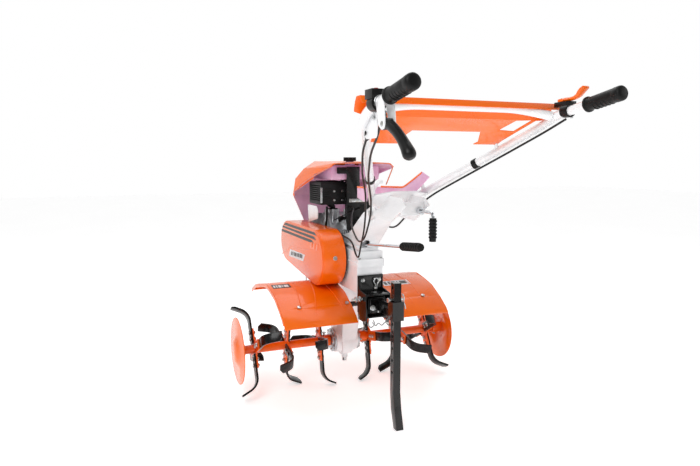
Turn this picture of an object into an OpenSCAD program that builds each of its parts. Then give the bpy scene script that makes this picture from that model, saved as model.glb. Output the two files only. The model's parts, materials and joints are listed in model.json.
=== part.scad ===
// Walk-behind power tiller with twin tine rotors, folding drag bar and V handlebars.
// Units are millimetres. Z is up, Y points forward and X points to the operator's right.

/* [Overall] */
// Height of the rotor axle above the ground, with the tine tips touching it
axle_h = 170; // [150:1:200]
// How far the grip ends reach behind the rotor axle
grip_reach = 1071; // [950:1:1150]
// Height of the grip ends above the ground
grip_h = 1027; // [900:1:1120]
// Width across the two grips, measured on their centre lines
grip_span = 550; // [440:1:640]

/* [Rotor] */
// Radius from the axle to the tine tips
tine_r = 170; // [140:1:190]
// Width of each tine blade
tine_w = 35; // [25:1:45]
// Thickness of each tine blade
tine_t = 7; // [5:0.5:10]
// Centre plane of the machine to the inner tine sets
inner_set_x = 104; // [95:1:120]
// Centre plane of the machine to the middle tine sets
middle_set_x = 237; // [200:1:260]
// Centre plane of the machine to the outer tine sets
outer_set_x = 358; // [330:1:365]
// Diameter of the rotor tubes
rotor_tube_d = 32; // [28:1:40]
// Diameter of the output shaft inside the rotor tubes
output_shaft_d = 24; // [20:1:26]
// Diameter of the two end discs
disc_d = 246; // [200:1:280]
// Centre plane of the machine to the rim of each end disc
disc_x = 420; // [400:1:450]

/* [Gearbox and drive] */
// Height of the input shaft above the rotor axle
input_rise = 345; // [320:1:370]
// Distance of the input shaft behind the rotor axle
input_back = 80; // [60:1:100]
// Height of the crankshaft above the rotor axle
crank_rise = 363; // [340:1:380]
// Distance of the crankshaft in front of the rotor axle
crank_ahead = 272; // [255:1:290]
// Diameter of the input shaft
input_shaft_d = 20; // [16:1:24]
// Diameter of the crankshaft end
crank_d = 20; // [18:1:25]
// Outside diameter of the engine pulley
engine_pulley_d = 76; // [60:1:90]
// Outside diameter of the gearbox pulley
input_pulley_d = 172; // [140:1:180]
// Thickness of the pressed steel belt cover
cover_wall = 2.5; // [1.5:0.5:4]

/* [Fenders] */
// Centre plane of the machine to the outer edge of each fender
fender_reach = 315; // [280:1:330]
// Sheet thickness of the fenders
fender_t = 2; // [1.5:0.5:3]

/* [Handlebars] */
// Diameter of the handlebar tubes
bar_d = 25; // [22:1:30]
// Wall of the handlebar tubes
bar_wall = 2; // [1.5:0.5:3]
// Length of the rubber grips
grip_l = 115; // [100:1:130]
// Outside diameter of the rubber grips
grip_d = 37; // [32:1:42]
// Width inside the handlebar bracket
bracket_w = 74; // [68:1:90]

/* [Drag bar] */
// Side of the square drag bar
drag_side = 25; // [20:1:30]
// Height of the top of the drag bar above the ground
drag_top_h = 480; // [440:1:560]
// Spacing of the depth holes
hole_pitch = 40; // [30:1:50]
// Diameter of the depth holes
hole_d = 10.5; // [9:0.5:12]
// Distance of the drag bar behind the rotor axle
drag_back = 455; // [430:1:480]

/* [Fits] */
// Radial clearance of shafts that turn in bores
run_fit = 0.05; // [0.02:0.01:0.1]
// Radial clearance of parts that slide over each other by hand
slip_fit = 0.4; // [0.2:0.1:0.8]

/* [Hidden] */
$fn = 48;
front_reach = crank_ahead + 86;
y_shift = (grip_reach - front_reach) / 2;
input_z = axle_h + input_rise;
crank_z = axle_h + crank_rise;
grip_x = grip_span / 2;
orange = "#ff6a00";
white = "#f2f3f5";
black = "#26272a";
steel = "#b9bec4";
casting = "#c9cdd2";
pink = "#d9b6d6";
rubber = "#232426";
seam_z = input_z - 2;
cover_h = 52;
case_w = 88;
box_w = 98;
cap_x = case_w / 2 + 14;
bolt_r = [38, 62];
m8_head = 13;
m8_head_h = 5.3;

// ---------- shared geometry ----------

// Moves everything so that the origin is under the middle of the machine.
module placed() {
  translate([0, y_shift, 0]) children();
}

// A solid of constant section in Y and Z, from x0 to x1.
module along_x(x0, x1) {
  translate([x0, 0, 0])
    rotate([90, 0, 90])
      linear_extrude(x1 - x0)
        children();
}

// A round bar along X.
module bar_x(d, x0, x1, y, z) {
  translate([x0, y, z])
    rotate([0, 90, 0])
      cylinder(h = x1 - x0, d = d);
}

// A round bar along Y, from y0 to y1.
module bar_y(d, y0, y1, x, z) {
  translate([x, y1, z])
    rotate([90, 0, 0])
      cylinder(h = y1 - y0, d = d);
}

// A round bar between two points.
module rod(a, b, d) {
  v = b - a;
  translate(a)
    rotate([0, acos(v[2] / norm(v)), atan2(v[1], v[0])])
      cylinder(h = norm(v), d = d);
}

// A block given by its two opposite corners.
module block(a, b) {
  translate(a) cube(b - a);
}

// Both sides of the machine.
module both_sides() {
  children();
  mirror([1, 0, 0]) children();
}

// A hexagon head bolt along +Z with its head at the top.
module hex_bolt(d, head, head_h, l) {
  translate([0, 0, -l]) cylinder(h = l, d = d, $fn = 24);
  cylinder(h = head_h, d = head / cos(30), $fn = 6);
}

function unit(v) = v / norm(v);
function tangent(p, i) = unit(p[min(i + 1, len(p) - 1)] - p[max(i - 1, 0)]);
function square_to(n, t) = unit(n - (n * t) * t);
function carried(p, i, n) =
  i == len(p) ? [] : let (m = square_to(n, tangent(p, i))) concat([m], carried(p, i + 1, m));
function ring(c, t, n, r, sides) =
  [for (k = [0 : sides - 1]) c + r * (cos(k * 360 / sides) * n + sin(k * 360 / sides) * cross(t, n))];
// Rounds each corner of a path, steps points to a corner.
function eased(p, r, steps) = concat(
  [p[0]],
  [for (i = [1 : len(p) - 2])
    let (a = p[i] + unit(p[i - 1] - p[i]) * min(r, 0.45 * norm(p[i - 1] - p[i])),
         b = p[i] + unit(p[i + 1] - p[i]) * min(r, 0.45 * norm(p[i + 1] - p[i])))
      for (s = [0 : steps]) let (u = s / steps)
        (1 - u) * (1 - u) * a + 2 * u * (1 - u) * p[i] + u * u * b],
  [p[len(p) - 1]]);

// A round bar swept along a path.
module swept(p, r, sides, up = [0, 0, 1]) {
  n = carried(p, 0, up);
  pts = [for (i = [0 : len(p) - 1]) each ring(p[i], tangent(p, i), n[i], r, sides)];
  last = (len(p) - 1) * sides;
  walls = [for (i = [0 : len(p) - 2]) for (k = [0 : sides - 1])
    let (a = i * sides + k, b = i * sides + (k + 1) % sides)
      each [[a, b + sides, b], [a, a + sides, b + sides]]];
  ends = [[for (k = [0 : sides - 1]) k], [for (k = [sides - 1 : -1 : 0]) last + k]];
  polyhedron(points = pts, faces = concat(walls, ends));
}

// Straight lengths of tube through a path, with a ball at each bend. The ends are open.
module tube_run(p, d, wall) {
  last = len(p) - 1;
  difference() {
    union() {
      for (i = [0 : last - 1]) rod(p[i], p[i + 1], d);
      for (i = [1 : last - 1]) translate(p[i]) rotate([23, 37, 11]) sphere(d = d + 0.3);
    }
    for (i = [0 : last - 1]) {
      t = unit(p[i + 1] - p[i]);
      rod(p[i] + t * (i == 0 ? -1 : 8), p[i + 1] - t * (i == last - 1 ? -1 : 8), d - 2 * wall);
    }
  }
}

// Left normal of a path in its own plane.
function side_of(p, i) = let (t = unit(p[min(i + 1, len(p) - 1)] - p[max(i - 1, 0)])) [-t[1], t[0]];
// A strip of even thickness along a flat path.
module strip(p, t) {
  polygon(concat(
    p,
    [for (i = [len(p) - 1 : -1 : 0]) p[i] + t * side_of(p, i)]));
}

// Two circles and the belt lines that touch them.
module two_lobes(c1, r1, c2, r2) {
  v = c2 - c1;
  a = atan2(v[1], v[0]);
  b = acos((r1 - r2) / norm(v));
  translate(c1) circle(r = r1, $fn = 96);
  translate(c2) circle(r = r2, $fn = 96);
  polygon([
    c1 + (r1 - 0.03) * [cos(a + b), sin(a + b)],
    c1 + (r1 - 0.03) * [cos(a - b), sin(a - b)],
    c2 + (r2 - 0.03) * [cos(a - b), sin(a - b)],
    c2 + (r2 - 0.03) * [cos(a + b), sin(a + b)]]);
}

// ---------- gearbox ----------

module case_profile(inset) {
  translate([0, axle_h]) circle(r = 60 - inset);
  polygon([
    [-59 + inset, axle_h + 8],
    [-112 + inset, 405],
    [-112 + inset, 440],
    [58 - inset, 440],
    [58 - inset, 395],
    [59 - inset, axle_h + 8]]);
}

module gearbox_housing() {
  color(white) placed() difference() {
    union() {
      along_x(-case_w / 2, case_w / 2) case_profile(0);
      block([-box_w / 2, -251, 408], [box_w / 2, 60, seam_z]);
      translate([0, -11, 98]) cylinder(h = 30, d = 24);
      block([-50, -262, 500], [50, 72, seam_z]);
    }
    along_x(-case_w / 2 + 6, case_w / 2 - 6) case_profile(6);
    block([-box_w / 2 + 6, -245, 440], [box_w / 2 - 6, 54, seam_z + 1]);
    bar_x(output_shaft_d + 2 * run_fit, -80, 80, 0, axle_h);
    bar_x(input_shaft_d + 2 * run_fit, -80, 80, -input_back, input_z);
    translate([0, -11, 90]) cylinder(h = 40, d = 12);
    for (x = [-41, 41]) for (y = [-256.6, 66]) translate([x, y, 480]) cylinder(h = 50, d = 5.4, $fn = 24);
  }
}

// Runs +Z along the gear lever, towards the operator, from its inner end.
module gear_axis() {
  translate([-18, -222, 575]) rotate([90 - 6.2, 0, 0]) children();
}

module gearbox_top_cover() {
  color(casting) placed() difference() {
    union() {
      block([-50, -262, seam_z], [50, 72, seam_z + 14]);
      block([-box_w / 2, -251, seam_z], [box_w / 2, 60, seam_z + cover_h - 12]);
      block([-box_w / 2 + 12, -240, seam_z], [box_w / 2 - 12, 50, seam_z + cover_h]);
      block([-31, -228, seam_z + 40], [-5, -205, 592]);
    }
    gear_axis() translate([0, 0, -40]) cylinder(h = 120, d = 10 + 2 * run_fit);
    block([-box_w / 2 + 6, -234, seam_z - 1], [box_w / 2 - 6, 44, seam_z + cover_h - 18]);
    bar_x(input_shaft_d + 2 * run_fit, -80, 80, -input_back, input_z);
    for (x = [-41, 41]) for (y = [-256.6, 66]) translate([x, y, 480]) cylinder(h = 50, d = 5.4, $fn = 24);
  }
}

module bearing_caps() {
  color(casting) placed() both_sides() difference() {
    union() {
      bar_x(92, case_w / 2, case_w / 2 + 8, 0, axle_h);
      bar_x(64, case_w / 2 + 8, cap_x, 0, axle_h);
      for (k = [0 : 5]) {
        bar_x(9, case_w / 2 + 8, case_w / 2 + 12, 38 * sin(k * 60), axle_h + 38 * cos(k * 60));
      }
    }
    bar_x(output_shaft_d + 2 * run_fit, case_w / 2 - 1, cap_x + 1, 0, axle_h);
  }
}

module drain_plug() {
  color(steel) placed() translate([0, -11, 0]) {
    translate([0, 0, 96]) cylinder(h = 22, d = 11.6);
    translate([0, 0, 84]) cylinder(h = 14, d = 19, $fn = 6);
  }
}

module drive_chain() {
  color(steel) placed() along_x(-5, 5) difference() {
    two_lobes([0, axle_h], 47, [-input_back, input_z], 22);
    two_lobes([0, axle_h], 43, [-input_back, input_z], 18);
  }
}

module output_shaft() {
  color(steel) placed() difference() {
    union() {
      bar_x(output_shaft_d, -150, 150, 0, axle_h);
      bar_x(84, -4, 4, 0, axle_h);
      bar_x(40, -16, 16, 0, axle_h);
    }
    for (x = [-82, 82]) translate([x, 0, axle_h - 20]) cylinder(h = 40, d = 8.4, $fn = 24);
  }
}

module input_shaft() {
  color(steel) placed() {
    bar_x(input_shaft_d, -128, 46, -input_back, input_z);
    difference() {
      bar_x(34, -5, 5, -input_back, input_z);
      bar_x(input_shaft_d - 1, -6, 6, -input_back, input_z);
    }
  }
}

// ---------- rotor ----------

// Points a downward blade at an angle round the axle, measured from straight down towards the front.
module at_angle(a) {
  translate([0, 0, axle_h]) rotate([a, 0, 0]) children();
}

// Angle of the outward bending pair of blades in the inner, middle and outer sets.
set_angle = [78, -78, -30];
set_x = [inner_set_x, middle_set_x, outer_set_x];
flange_t = 5;
tube_end_x = disc_x + 14;

module flange_plate(a) {
  difference() {
    union() {
      circle(r = 36);
      for (k = [0, 90]) rotate(a + k) square([148, 38], center = true);
    }
    circle(d = rotor_tube_d - 2);
    for (k = [0 : 3]) for (r = bolt_r) rotate(a + 90 * k) translate([r, 0]) circle(d = 8.4, $fn = 24);
  }
}

module rotor_tubes() {
  color(orange) placed() both_sides() difference() {
    union() {
      bar_x(rotor_tube_d, cap_x + 3, tube_end_x, 0, axle_h);
      bar_x(44, cap_x + 3, cap_x + 34, 0, axle_h);
      for (i = [0 : 2]) {
        along_x(set_x[i] - flange_t / 2, set_x[i] + flange_t / 2)
          translate([0, axle_h]) flange_plate(set_angle[i]);
      }
    }
    bar_x(output_shaft_d + 2 * slip_fit, cap_x, tube_end_x + 1, 0, axle_h);
    translate([82, 0, axle_h - 30]) cylinder(h = 60, d = 8.4, $fn = 24);
    translate([disc_x - 8, 0, axle_h - 30]) cylinder(h = 60, d = 8.4, $fn = 24);
  }
}

bend_r = 50;
bend_a = 65;
tip_l = 36;
// The inner blades that bend towards the gearbox have shorter tips.
near_tip_l = 20;
function shank_end(tip) = tine_r - bend_r * sin(bend_a) - tip * cos(bend_a) - tine_t / 2 * sin(bend_a);

// Edge of the bent blade, offset e from its middle, bending towards side s.
function blade_edge(s, e, tip) = concat(
  [[-s * e, -21], [-s * e, -shank_end(tip)]],
  [for (k = [1 : 8]) let (a = bend_a * k / 8, r = bend_r + e)
    [s * (bend_r - r * cos(a)), -shank_end(tip) - r * sin(a)]],
  [[s * (bend_r - (bend_r + e) * cos(bend_a) + tip * sin(bend_a)),
    -shank_end(tip) - (bend_r + e) * sin(bend_a) - tip * cos(bend_a)]]);
function turned_round(p) = [for (i = [len(p) - 1 : -1 : 0]) p[i]];

// A blade whose shank lies on the plane x = 0 and whose tip bends towards side s.
module tine_blade(s, tip) {
  difference() {
    rotate([90, 0, 0])
      linear_extrude(tine_w, center = true)
        polygon(concat(blade_edge(s, tine_t / 2, tip), turned_round(blade_edge(s, -tine_t / 2, tip))));
    translate([s * (bend_r - bend_r * cos(bend_a) + tip * sin(bend_a)), tine_w / 2 - 14,
        -tine_r + tine_t / 2])
      rotate([0, s * (90 - bend_a), 0])
        rotate([0, 0, -s * 50])
          translate([-40, 0, -30]) cube([80, 40, 60]);
    for (r = bolt_r) bar_x(8.4, -10, 10, 0, -r);
  }
}

// One set of four blades: a pair bent outwards on the outer face and a pair bent inwards on the inner face.
module tine_set(i) {
  gap = flange_t / 2 + tine_t / 2;
  for (k = [0, 180]) {
    translate([set_x[i] + gap, 0, 0]) at_angle(set_angle[i] + k) tine_blade(1, tip_l);
    translate([set_x[i] - gap, 0, 0]) at_angle(set_angle[i] + 90 + k) tine_blade(-1,
        i == 0 ? near_tip_l : tip_l);
  }
}

module tines_inner() {
  color(black) placed() both_sides() tine_set(0);
}

module tines_middle() {
  color(black) placed() both_sides() tine_set(1);
}

module tines_outer() {
  color(black) placed() both_sides() tine_set(2);
}

// A bolt and nut through a blade and its flange, with the head on side s.
module tine_bolt(s) {
  bar_x(8, -11, 11, 0, 0);
  rotate([0, s * 90, 0]) translate([0, 0, flange_t / 2 + tine_t]) cylinder(h = m8_head_h,
      d = m8_head / cos(30), $fn = 6);
  rotate([0, -s * 90, 0]) translate([0, 0, flange_t / 2]) cylinder(h = 6.5, d = m8_head / cos(30), $fn = 6);
}

module tine_bolts() {
  color(steel) placed() both_sides() {
    for (i = [0 : 2]) for (k = [0 : 3]) for (r = bolt_r) {
      translate([set_x[i], 0, 0])
        at_angle(set_angle[i] + 90 * k)
          translate([0, 0, -r])
            tine_bolt(k % 2 == 0 ? 1 : -1);
    }
  }
}

module side_discs() {
  color(orange) placed() both_sides() difference() {
    union() {
      translate([disc_x, 0, axle_h]) rotate([0, 90, 0]) rotate_extrude($fn = 96)
        polygon([[0, 14], [34, 14], [60, 0], [disc_d / 2, 0], [disc_d / 2, 2.5], [61, 2.5], [35, 16.5],
            [0, 16.5]]);
      bar_x(42, disc_x - 24, disc_x + 15, 0, axle_h);
    }
    bar_x(rotor_tube_d + 2 * slip_fit, disc_x - 30, tube_end_x + 0.01, 0, axle_h);
    translate([disc_x - 8, 0, axle_h - 30]) cylinder(h = 60, d = 8.4, $fn = 24);
  }
}

module rotor_pins() {
  color(steel) placed() both_sides() {
    for (x = [82, disc_x - 8]) {
      translate([x, 0, axle_h - 28]) cylinder(h = 58, d = 8, $fn = 24);
      translate([x, 0, axle_h + 30]) cylinder(h = 4, d = 14, $fn = 24);
      translate([x, 0, axle_h - 24.5]) rotate_extrude() translate([5.2, 0]) circle(d = 2);
    }
  }
}

// ---------- fenders ----------

fender_line = [
  [212, 352], [205, 358], [150, 383], [100, 395], [50, 405], [-20, 415.5],
  [-77, 405.5], [-140, 390], [-205, 356], [-250, 325], [-266, 307]];
// The rolled outer edge stops short of the sheet's rear end.
rolled_edge = [for (i = [0 : len(fender_line) - 2]) fender_line[i]];
fender_in = 50;
stay_tilt = 27.6;

module fender() {
  difference() {
    union() {
      along_x(fender_in, fender_reach) strip(fender_line, fender_t);
      along_x(fender_reach - fender_t, fender_reach) strip(rolled_edge, 12);
    }
    for (x = [66, 244]) translate([x, -196, 360.8]) rotate([stay_tilt, 0, 0]) cylinder(h = 60, d = 8.6,
        center = true, $fn = 24);
  }
}

module fender_right() {
  color(orange) placed() fender();
}

module fender_left() {
  color(orange) placed() mirror([1, 0, 0]) fender();
}

module fender_stays() {
  color(black) placed() difference() {
    union() {
      along_x(-258, 258) strip([[-186, 363.6], [-203.5, 354.4]], 6);
      along_x(-258, 258) strip([[142, 382.7], [118, 388.5]], 6);
      block([-30, 118, 378], [30, 142, 404]);
      for (x = [-50, case_w / 2]) block([x, -204, 348], [x + 6, -60, 356]);
    }
    for (x = [-244, -66, 66, 244]) {
      translate([x, -196, 360.8]) rotate([stay_tilt, 0, 0]) cylinder(h = 60, d = 8.6, center = true,
          $fn = 24);
    }
  }
}

// ---------- belt drive ----------

cover_out = -150;
cover_in = -62;
belt_x = -103;

module drive_outline(grow) {
  two_lobes([-input_back, input_z], 103 + grow, [crank_ahead, crank_z], 85 + grow);
}

module belt_cover() {
  color(orange) placed() difference() {
    union() {
      along_x(cover_out + 6, cover_in) drive_outline(0);
      along_x(cover_out, cover_out + 7) drive_outline(-7);
      along_x(cover_out + 3, cover_out + 7) drive_outline(-2);
    }
    along_x(cover_out + cover_wall, cover_in + 1) drive_outline(-9);
    along_x(cover_out + 9, cover_in + 1) drive_outline(-cover_wall);
  }
}

module belt_backplate() {
  color(black) placed() difference() {
    union() {
      along_x(cover_in, cover_in + 3) drive_outline(-1);
      bar_x(84, cover_in + 2, -50, -input_back, input_z);
      for (v = [[205, 480], [205, 570], [330, 480], [330, 570]]) bar_x(18, cover_in + 2, -45, v[0], v[1]);
    }
    bar_x(64, cover_in - 5, -45, -input_back, input_z);
    bar_x(64, cover_in - 5, -45, crank_ahead, crank_z);
    bar_x(10 + 2 * run_fit, cover_in - 5, -45, 30, 548);
  }
}

module pulley(d, y, z, bore) {
  translate([belt_x - 12, y, z]) rotate([0, 90, 0]) rotate_extrude($fn = 96)
    polygon([
      [bore / 2, 0], [bore / 2 + 8, 0], [bore / 2 + 8, 7], [d / 2 - 15, 9], [d / 2 - 12, 0], [d / 2, 0],
          [d / 2, 3],
      [d / 2 - 10, 5], [d / 2 - 10, 19], [d / 2, 21], [d / 2, 24],
      [d / 2 - 12, 24], [d / 2 - 15, 14], [bore / 2 + 8, 16], [bore / 2 + 8, 26], [bore / 2, 26]]);
}

module engine_pulley() {
  color(steel) placed() pulley(engine_pulley_d, crank_ahead, crank_z, crank_d);
}

module input_pulley() {
  color(steel) placed() pulley(input_pulley_d, -input_back, input_z, input_shaft_d);
}

module drive_belt() {
  color(rubber) placed() along_x(belt_x - 6.5, belt_x + 6.5) difference() {
    two_lobes([-input_back, input_z], input_pulley_d / 2 - 1, [crank_ahead, crank_z],
        engine_pulley_d / 2 - 1);
    two_lobes([-input_back, input_z], input_pulley_d / 2 - 9, [crank_ahead, crank_z],
        engine_pulley_d / 2 - 9);
  }
}

idler_y = 110;
idler_z = 601;

module tension_arm() {
  color(steel) placed() {
    along_x(-72, -68) {
      difference() {
        union() {
          translate([30, 548]) circle(r = 12);
          translate([idler_y, idler_z]) circle(r = 9);
          polygon([[24, 557], [36, 539], [idler_y + 5, idler_z - 8], [idler_y - 5, idler_z + 8]]);
        }
        translate([idler_y, idler_z]) circle(d = 8);
      }
    }
    bar_x(10, -68, -52, 30, 548);
    bar_x(8, -114, -68, idler_y, idler_z);
  }
}

module idler_pulley() {
  color(steel) placed() difference() {
    bar_x(24, belt_x - 8, belt_x + 8, idler_y, idler_z);
    bar_x(8, belt_x - 9, belt_x + 9, idler_y, idler_z);
  }
}

// ---------- engine ----------

engine_x = 55;
engine_foot = crank_z - 106;

module engine_frame() {
  color(black) placed() difference() {
    union() {
      block([engine_x - 80, 60, 404], [engine_x + 80, 355, 410]);
      block([-49, 60, 404], [49, 66, 495]);
      for (x = [-70, 50]) block([engine_x + x, 180, 404], [engine_x + x + 20, 352, engine_foot]);
      for (x = [-49, 43]) block([x, 60, 404], [x + 6, 150, 440]);
    }
    for (x = [-60, 60]) for (y = [205, 330]) {
      translate([engine_x + x, y, 400]) cylinder(h = 40, d = 8.6, $fn = 24);
    }
  }
}

module crankcase() {
  color(casting) placed() difference() {
    union() {
      along_x(-45, 150) polygon([
        [200, engine_foot], [344, engine_foot], [350, engine_foot + 8], [350, 575],
        [330, 600], [250, 622], [196, 610], [196, 450]]);
      bar_x(60, -58, -40, crank_ahead, crank_z);
      translate([120, 348, 450]) rotate([-60, 0, 0]) cylinder(h = 8, d = 26);
    }
    bar_x(crank_d + 2 * run_fit, -70, 100, crank_ahead, crank_z);
    block([-33, 212, engine_foot + 13], [138, 336, 585]);
  }
}

module crankshaft() {
  color(steel) placed() bar_x(crank_d, -118, 95, crank_ahead, crank_z);
}

module cylinder_head() {
  color(casting) placed() difference() {
    union() {
      translate([5, crank_ahead, crank_z]) rotate([65, 0, 0]) {
        translate([-42, -40, 60]) cube([84, 84, 145]);
        for (k = [1 : 8]) translate([-58, -50, 88 + 10 * k]) cube([116, 108, 2.4]);
        translate([-46, -44, 178]) cube([92, 96, 16]);
        translate([-34, -34, 194]) cube([68, 72, 22]);
      }
      block([-22, 92, 650], [18, 130, 674]);
    }
    along_x(-60, 160) polygon([
      [199, engine_foot], [352, engine_foot], [352, 576], [331, 601], [250, 623], [195.7, 611], [195.7,
          450]]);
  }
}

module spark_plug_cap() {
  color(rubber) placed() translate([5, crank_ahead, crank_z]) rotate([65, 0, 0]) {
    translate([12, 8, 216]) cylinder(h = 22, d = 16);
    translate([12, 8, 238]) rotate([0, -90, 0]) cylinder(h = 26, d = 15, center = true);
  }
}

module muffler() {
  color(black) placed() difference() {
    union() {
      block([-73, 50, 697], [31, 190, 785]);
      block([-74.5, 48, 703], [32.5, 52, 779]);
      swept(eased([[-2, 111, 677], [-2, 110, 686], [-24, 100, 699]], 12, 4), 11, 16);
      block([-20, 94, 674], [16, 128, 678]);
    }
    block([-71, 52, 699], [29, 188, 783]);
    for (z = [712 : 8 : 768]) block([-66, 40, z], [-28, 49.5, z + 3.5]);
    for (z = [712 : 8 : 768]) block([-80, 60, z], [-71, 180, z + 3.5]);
  }
}

// The carburettor with the air filter box clipped to it.
module carburettor() {
  color(black) placed() difference() {
    union() {
      block([63.3, 100, 612], [90, 140, 652]);
      translate([79, 120, 596]) cylinder(h = 20, d = 28);
      block([89, 72, 618], [168, 168, 728]);
    }
    block([92, 76, 621], [165, 165, 725]);
    for (z = [640 : 10 : 710]) block([100, 70, z], [158, 74, z + 4]);
  }
}

module recoil_housing() {
  color(black) placed() difference() {
    union() {
      bar_x(168, 150, 178, crank_ahead, crank_z);
      bar_x(130, 178, 200, crank_ahead, crank_z);
    }
    bar_x(120, 149, 196, crank_ahead, crank_z);
    for (k = [0 : 11]) translate([190, crank_ahead, crank_z]) rotate([k * 30, 0, 0]) block([-1, -4, 25],
        [12, 4, 52]);
  }
}

module starter_handle() {
  color(rubber) placed() {
    block([178.5, 208, 584], [201, 224, 600]);
    block([201, 196, 586], [213, 236, 598]);
  }
}

module fuel_tank() {
  color(pink) placed() difference() {
    union() {
      block([-45, 12, 795], [155, 236, 846]);
      block([-38, 20, 846], [148, 228, 850]);
      translate([50, 56, 840]) cylinder(h = 24, d = 38);
    }
    block([-41, 16, 799], [151, 232, 843]);
    translate([50, 56, 830]) cylinder(h = 40, d = 32);
  }
}

module fuel_cap() {
  color(rubber) placed() difference() {
    union() {
      translate([50, 56, 866]) cylinder(h = 15, d = 47);
      for (k = [0 : 17]) translate([50, 56, 866]) rotate(20 * k) block([23, -1.6, 0], [24.8, 1.6, 15]);
      translate([50, 56, 852]) cylinder(h = 15, d = 30);
    }
    translate([50, 56, 851]) cylinder(h = 14, d = 24);
  }
}

module tank_bracket() {
  color(black) placed() {
    block([15, 0, 565], [69, 5, 845]);
    block([-25, 0, 818], [16, 5, 843]);
    block([15, -30, seam_z + cover_h], [69, 5, seam_z + cover_h + 5]);
    block([15, 4, 789], [69, 70, 795]);
    block([15, 4, 640], [20, 22, 789]);
    block([64, 4, 640], [69, 22, 789]);
    block([69, 0, 700], [95, 5, 720]);
  }
}

// Corners of the bonnet on one side: distance from its centre plane, then Y and Z, pulled in by e.
function bonnet_corners(e, s) = [
  for (v = [
    [116, -60, 858], [131, -60, 845], [90, 232, 866], [143, 215, 836], [154, 300, 792],
    [100, 330, 796], [155, 334, 722], [92, 356, 722], [100, 346, 604], [62, 356, 600]])
    [engine_x + s * (v[0] - e), v[1] - (v[1] > 0 ? e : 30 * e), v[2] - (v[2] > 610 ? e : 30 * e)]];

module bonnet_block(e) {
  hull() {
    for (s = [-1, 1]) for (v = bonnet_corners(e, s)) translate(v) cube(0.02, center = true);
  }
}

module bonnet() {
  color(orange) placed() block([engine_x - 50, 100, 850], [engine_x + 50, 104, 861]);
  color(orange) placed() difference() {
    bonnet_block(0);
    bonnet_block(2.5);
    along_x(-200, engine_x - 1) polygon([[-80, 838], [-40, 838], [318, 735], [330, 590], [-80, 590]]);
    along_x(engine_x - 2, 300) polygon([[-80, 838], [-50, 838], [-10, 762], [300, 640], [330, 590], [-80,
        590]]);
    translate([50, 56, 840]) cylinder(h = 40, d = 54);
  }
}

// ---------- steering column and handlebars ----------

pivot_y = -352;
pivot_z = 697;
plate_t = 4;

module handlebar_column() {
  color(white) placed() difference() {
    union() {
      along_x(-36, 36) polygon([
        [-60, seam_z + cover_h], [-238, seam_z + cover_h], [-262, 590], [-372, 684], [-372, 706],
        [-345, 722], [-270, 690], [-150, 610], [-60, 590]]);
      block([-44, -238, seam_z + cover_h], [44, -70, seam_z + cover_h + 6]);
    }
    along_x(-32, 32) polygon([
      [-80, seam_z + cover_h - 1], [-230, seam_z + cover_h - 1], [-256, 590], [-380, 694], [-350, 712],
      [-268, 682], [-150, 602], [-80, 584]]);
    bar_x(12, -60, 60, pivot_y, pivot_z);
    bar_y(32, -290, -222, -18, 579);
  }
}

module handlebar_pivot_bolt() {
  color(steel) placed() {
    bar_x(11.8, -bracket_w / 2 - plate_t - 4, 52, pivot_y, pivot_z);
    translate([-bracket_w / 2 - plate_t, pivot_y, pivot_z]) rotate([0, -90, 0]) cylinder(h = 8, d = 21,
        $fn = 6);
    translate([bracket_w / 2 + plate_t, pivot_y, pivot_z]) rotate([0, 90, 0]) cylinder(h = 10, d = 21,
        $fn = 6);
  }
}

// Frame of the handlebar plane: its Y axis runs forwards and down along the arms.
arm_y = -343;
arm_z = 698;
arm_slope = 30;
module arm_frame() {
  translate([0, arm_y, arm_z]) rotate([-arm_slope, 0, 0]) children();
}
function arm_point(s, x) = [x, arm_y - s * cos(arm_slope), arm_z + s * sin(arm_slope)];

module handlebar_bracket() {
  color(white) placed() arm_frame() difference() {
    union() {
      for (x = [-bracket_w / 2 - plate_t, bracket_w / 2]) along_x(x, x + plate_t) polygon([
        [18, 18], [-30, 18], [-50, -13], [-150, -13], [-220, -58], [-234, -91],
        [-127, -91], [-60, -50], [-24, -26], [18, -22]]);
    }
    block([-200, -400, -12.9], [200, -40, 40]);
    rotate([arm_slope, 0, 0]) bar_x(12, -60, 60, pivot_y - arm_y, pivot_z - arm_z);
  }
  color(white) placed() difference() {
    block([-bracket_w / 2 - 0.5, -562, 706], [bracket_w / 2 + 0.5, -554, 745]);
    bar_y(10 + 2 * run_fit, -570, -540, 20, 719.5);
  }
  color(white) placed() arm_frame() {
    translate([0, 0, -16.6]) linear_extrude(4) polygon([
      [-41, -62], [41, -62], [84, -112], [92, -160], [41, -178], [-41, -178], [-92, -160], [-84, -112]]);
  }
}

grip_front = [grip_x, -(grip_reach - grip_l), grip_h - 20];
grip_end = [grip_x, -grip_reach, grip_h];
arm_x0 = 28;
arm_spread = 0.455;
function arm_path() = eased([
  arm_point(72, arm_x0 + arm_spread * 72),
  arm_point(532, arm_x0 + arm_spread * 532),
  [grip_x - 2, -850, grip_h - 38],
  grip_front,
  grip_end + [0, 5, -1]], 34, 1);

cross_y = -824;
cross_z = grip_h - 22;

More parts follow.
